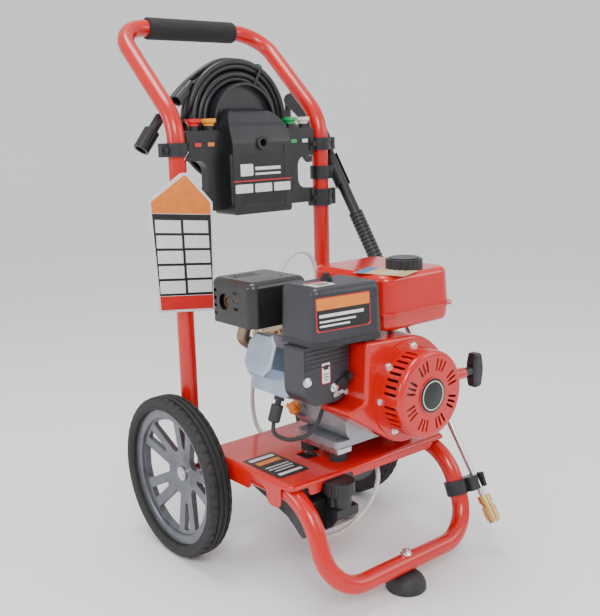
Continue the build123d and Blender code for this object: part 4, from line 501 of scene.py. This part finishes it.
# Hang card: laminated sheet on a bead chain from the left clamp, with an orange
# header, white picture boxes on black, and a red foot.
card_white = finish_for("card_laminate", (0.74, 0.75, 0.78), (0.68, 0.69, 0.73), 20, 0.3, 0.7, 0.3, coat=0.3,
        bump=0.03)
dress(card_white, "hang_card")

# Bead chain: nickel-plated beads on a wire core, looped from the card's eyelet
# to the ear of the left clamp.
chain_mesh = bmesh.new()
for k in range(26):
    t = k / 25
    centre = Vector((-0.1735, 0.3705 + 0.0165 * math.sin(math.pi * t), 0.7000)) + Vector((0.012 * t, 0,
            0.045 * t - 0.006 * math.sin(math.pi * t)))
    bmesh.ops.create_icosphere(chain_mesh, subdivisions=2, radius=0.00105, matrix=Matrix.Translation(centre))
for face in chain_mesh.faces:
    face.smooth = True
chain_data = bpy.data.meshes.new("bead_chain")
chain_mesh.to_mesh(chain_data)
chain_mesh.free()
chain_data.materials.append(bright_plate)
chain = bpy.data.objects.new("bead_chain", chain_data)
bpy.context.scene.collection.objects.link(chain)
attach(chain, MACHINE)
card_low, card_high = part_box("hang_card")


def cut_sheet(name, corners, thick, material):
    """A flat shape cut from card, its corners given as (x, z), on the card's front face."""
    mesh = bmesh.new()
    front = [mesh.verts.new((x, card_low.y - thick, z)) for x, z in corners]
    rear = [mesh.verts.new((x, card_low.y - 0.0001, z)) for x, z in corners]
    mesh.faces.new(front)
    mesh.faces.new(list(reversed(rear)))
    for k in range(len(corners)):
        j = (k + 1) % len(corners)
        mesh.faces.new((front[k], rear[k], rear[j], front[j]))
    bmesh.ops.recalc_face_normals(mesh, faces=mesh.faces)
    data = bpy.data.meshes.new(name)
    mesh.to_mesh(data)
    mesh.free()
    data.materials.append(material)
    piece = bpy.data.objects.new(name, data)
    bpy.context.scene.collection.objects.link(piece)
    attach(piece, "card")
    return piece


cut_sheet("card_header", [(-0.1745, 0.7055), (-0.1695, 0.7055), (-0.1200, 0.6540), (-0.1200, 0.6330),
        (-0.2420, 0.6450),
                          (-0.2430, 0.6640)], 0.0003, ink_orange)
cut_sheet("card_ground", [(-0.1200, 0.6320), (-0.1230, 0.4860), (-0.2350, 0.4980), (-0.2420, 0.6440)], 0.0003,
        ink_black)
cut_sheet("card_foot", [(-0.1230, 0.4850), (-0.1235, 0.4600), (-0.2340, 0.4720), (-0.2350, 0.4970)], 0.0003,
        ink_red)
for row in range(5):
    for column in range(2):
        z = 0.6255 - 0.0272 * row
        left = -0.2370 + 0.0575 * column + 0.0008 * row
        cut_sheet(f"card_box_{row}_{column}",
                [(left, z + 0.0075 - 0.0055 * column), (left + 0.0520, z + 0.0020 - 0.0055 * column),
                                               (left + 0.0520, z - 0.0205 - 0.0055 * column),
                                               (left, z - 0.0150 - 0.0055 * column)],
                  0.0006, ink_white)

# Floor, backdrop and lamps: a pale seamless sweep with three soft boxes.
SWEEP = [(0.0, 0.0), (2.6, 0.0), (3.6, 0.0), (4.4, 0.06), (5.1, 0.30), (5.6, 0.75), (5.9, 1.40), (6.05, 2.20),
        (6.1, 3.2), (6.1, 4.6)]
floor_mesh, rim = bpy.data.meshes.new("studio_floor"), 96
sweep_points = [(r * math.cos(2 * math.pi * k / rim), r * math.sin(2 * math.pi * k / rim),
        z) for k in range(rim) for r, z in SWEEP[1:]]
sweep_points.append((0, 0, 0))
steps_up = len(SWEEP) - 1
sweep_faces = [(len(sweep_points) - 1, k * steps_up, (k + 1) % rim * steps_up) for k in range(rim)]
sweep_faces += [(k * steps_up + i, k * steps_up + i + 1, (k + 1) % rim * steps_up + i + 1,
        (k + 1) % rim * steps_up + i)
                for k in range(rim) for i in range(steps_up - 1)]
floor_mesh.from_pydata(sweep_points, [], sweep_faces)
floor_mesh.shade_smooth()
floor = bpy.data.objects.new("studio_floor", floor_mesh)
bpy.context.scene.collection.objects.link(floor)
floor_mesh.materials.append(finish_for("pale_floor", (0.90, 0.90, 0.90), (0.88, 0.88, 0.88), 0.5, 0.3, 0.7,
        0.75, bump=0.0))
world = bpy.data.worlds.new("studio")
bpy.context.scene.world = world
world.use_nodes = True
world.node_tree.nodes["Background"].inputs["Color"].default_value = (0.97, 0.98, 1.0, 1)
world.node_tree.nodes["Background"].inputs["Strength"].default_value = 1.0
for name, place, power, size in (("key_lamp", (-1.6, -1.9, 2.3), 50, 1.0),
        ("fill_lamp", (1.7, -1.6, 1.6), 14, 1.2),
                                 ("top_lamp", (-0.2, 0.5, 2.8), 34, 1.0),
                                 ("side_lamp", (-2.2, 0.8, 1.2), 14, 0.8)):
    lamp = bpy.data.lights.new(name, "AREA")
    lamp.energy, lamp.size = power, size
    holder = bpy.data.objects.new(name, lamp)
    bpy.context.scene.collection.objects.link(holder)
    holder.location = place
    holder.rotation_mode = "QUATERNION"
    holder.rotation_quaternion = (Vector((0, 0.25, 0.45)) - Vector(place)).to_track_quat("-Z", "Y")

bpy.context.view_layer.update()
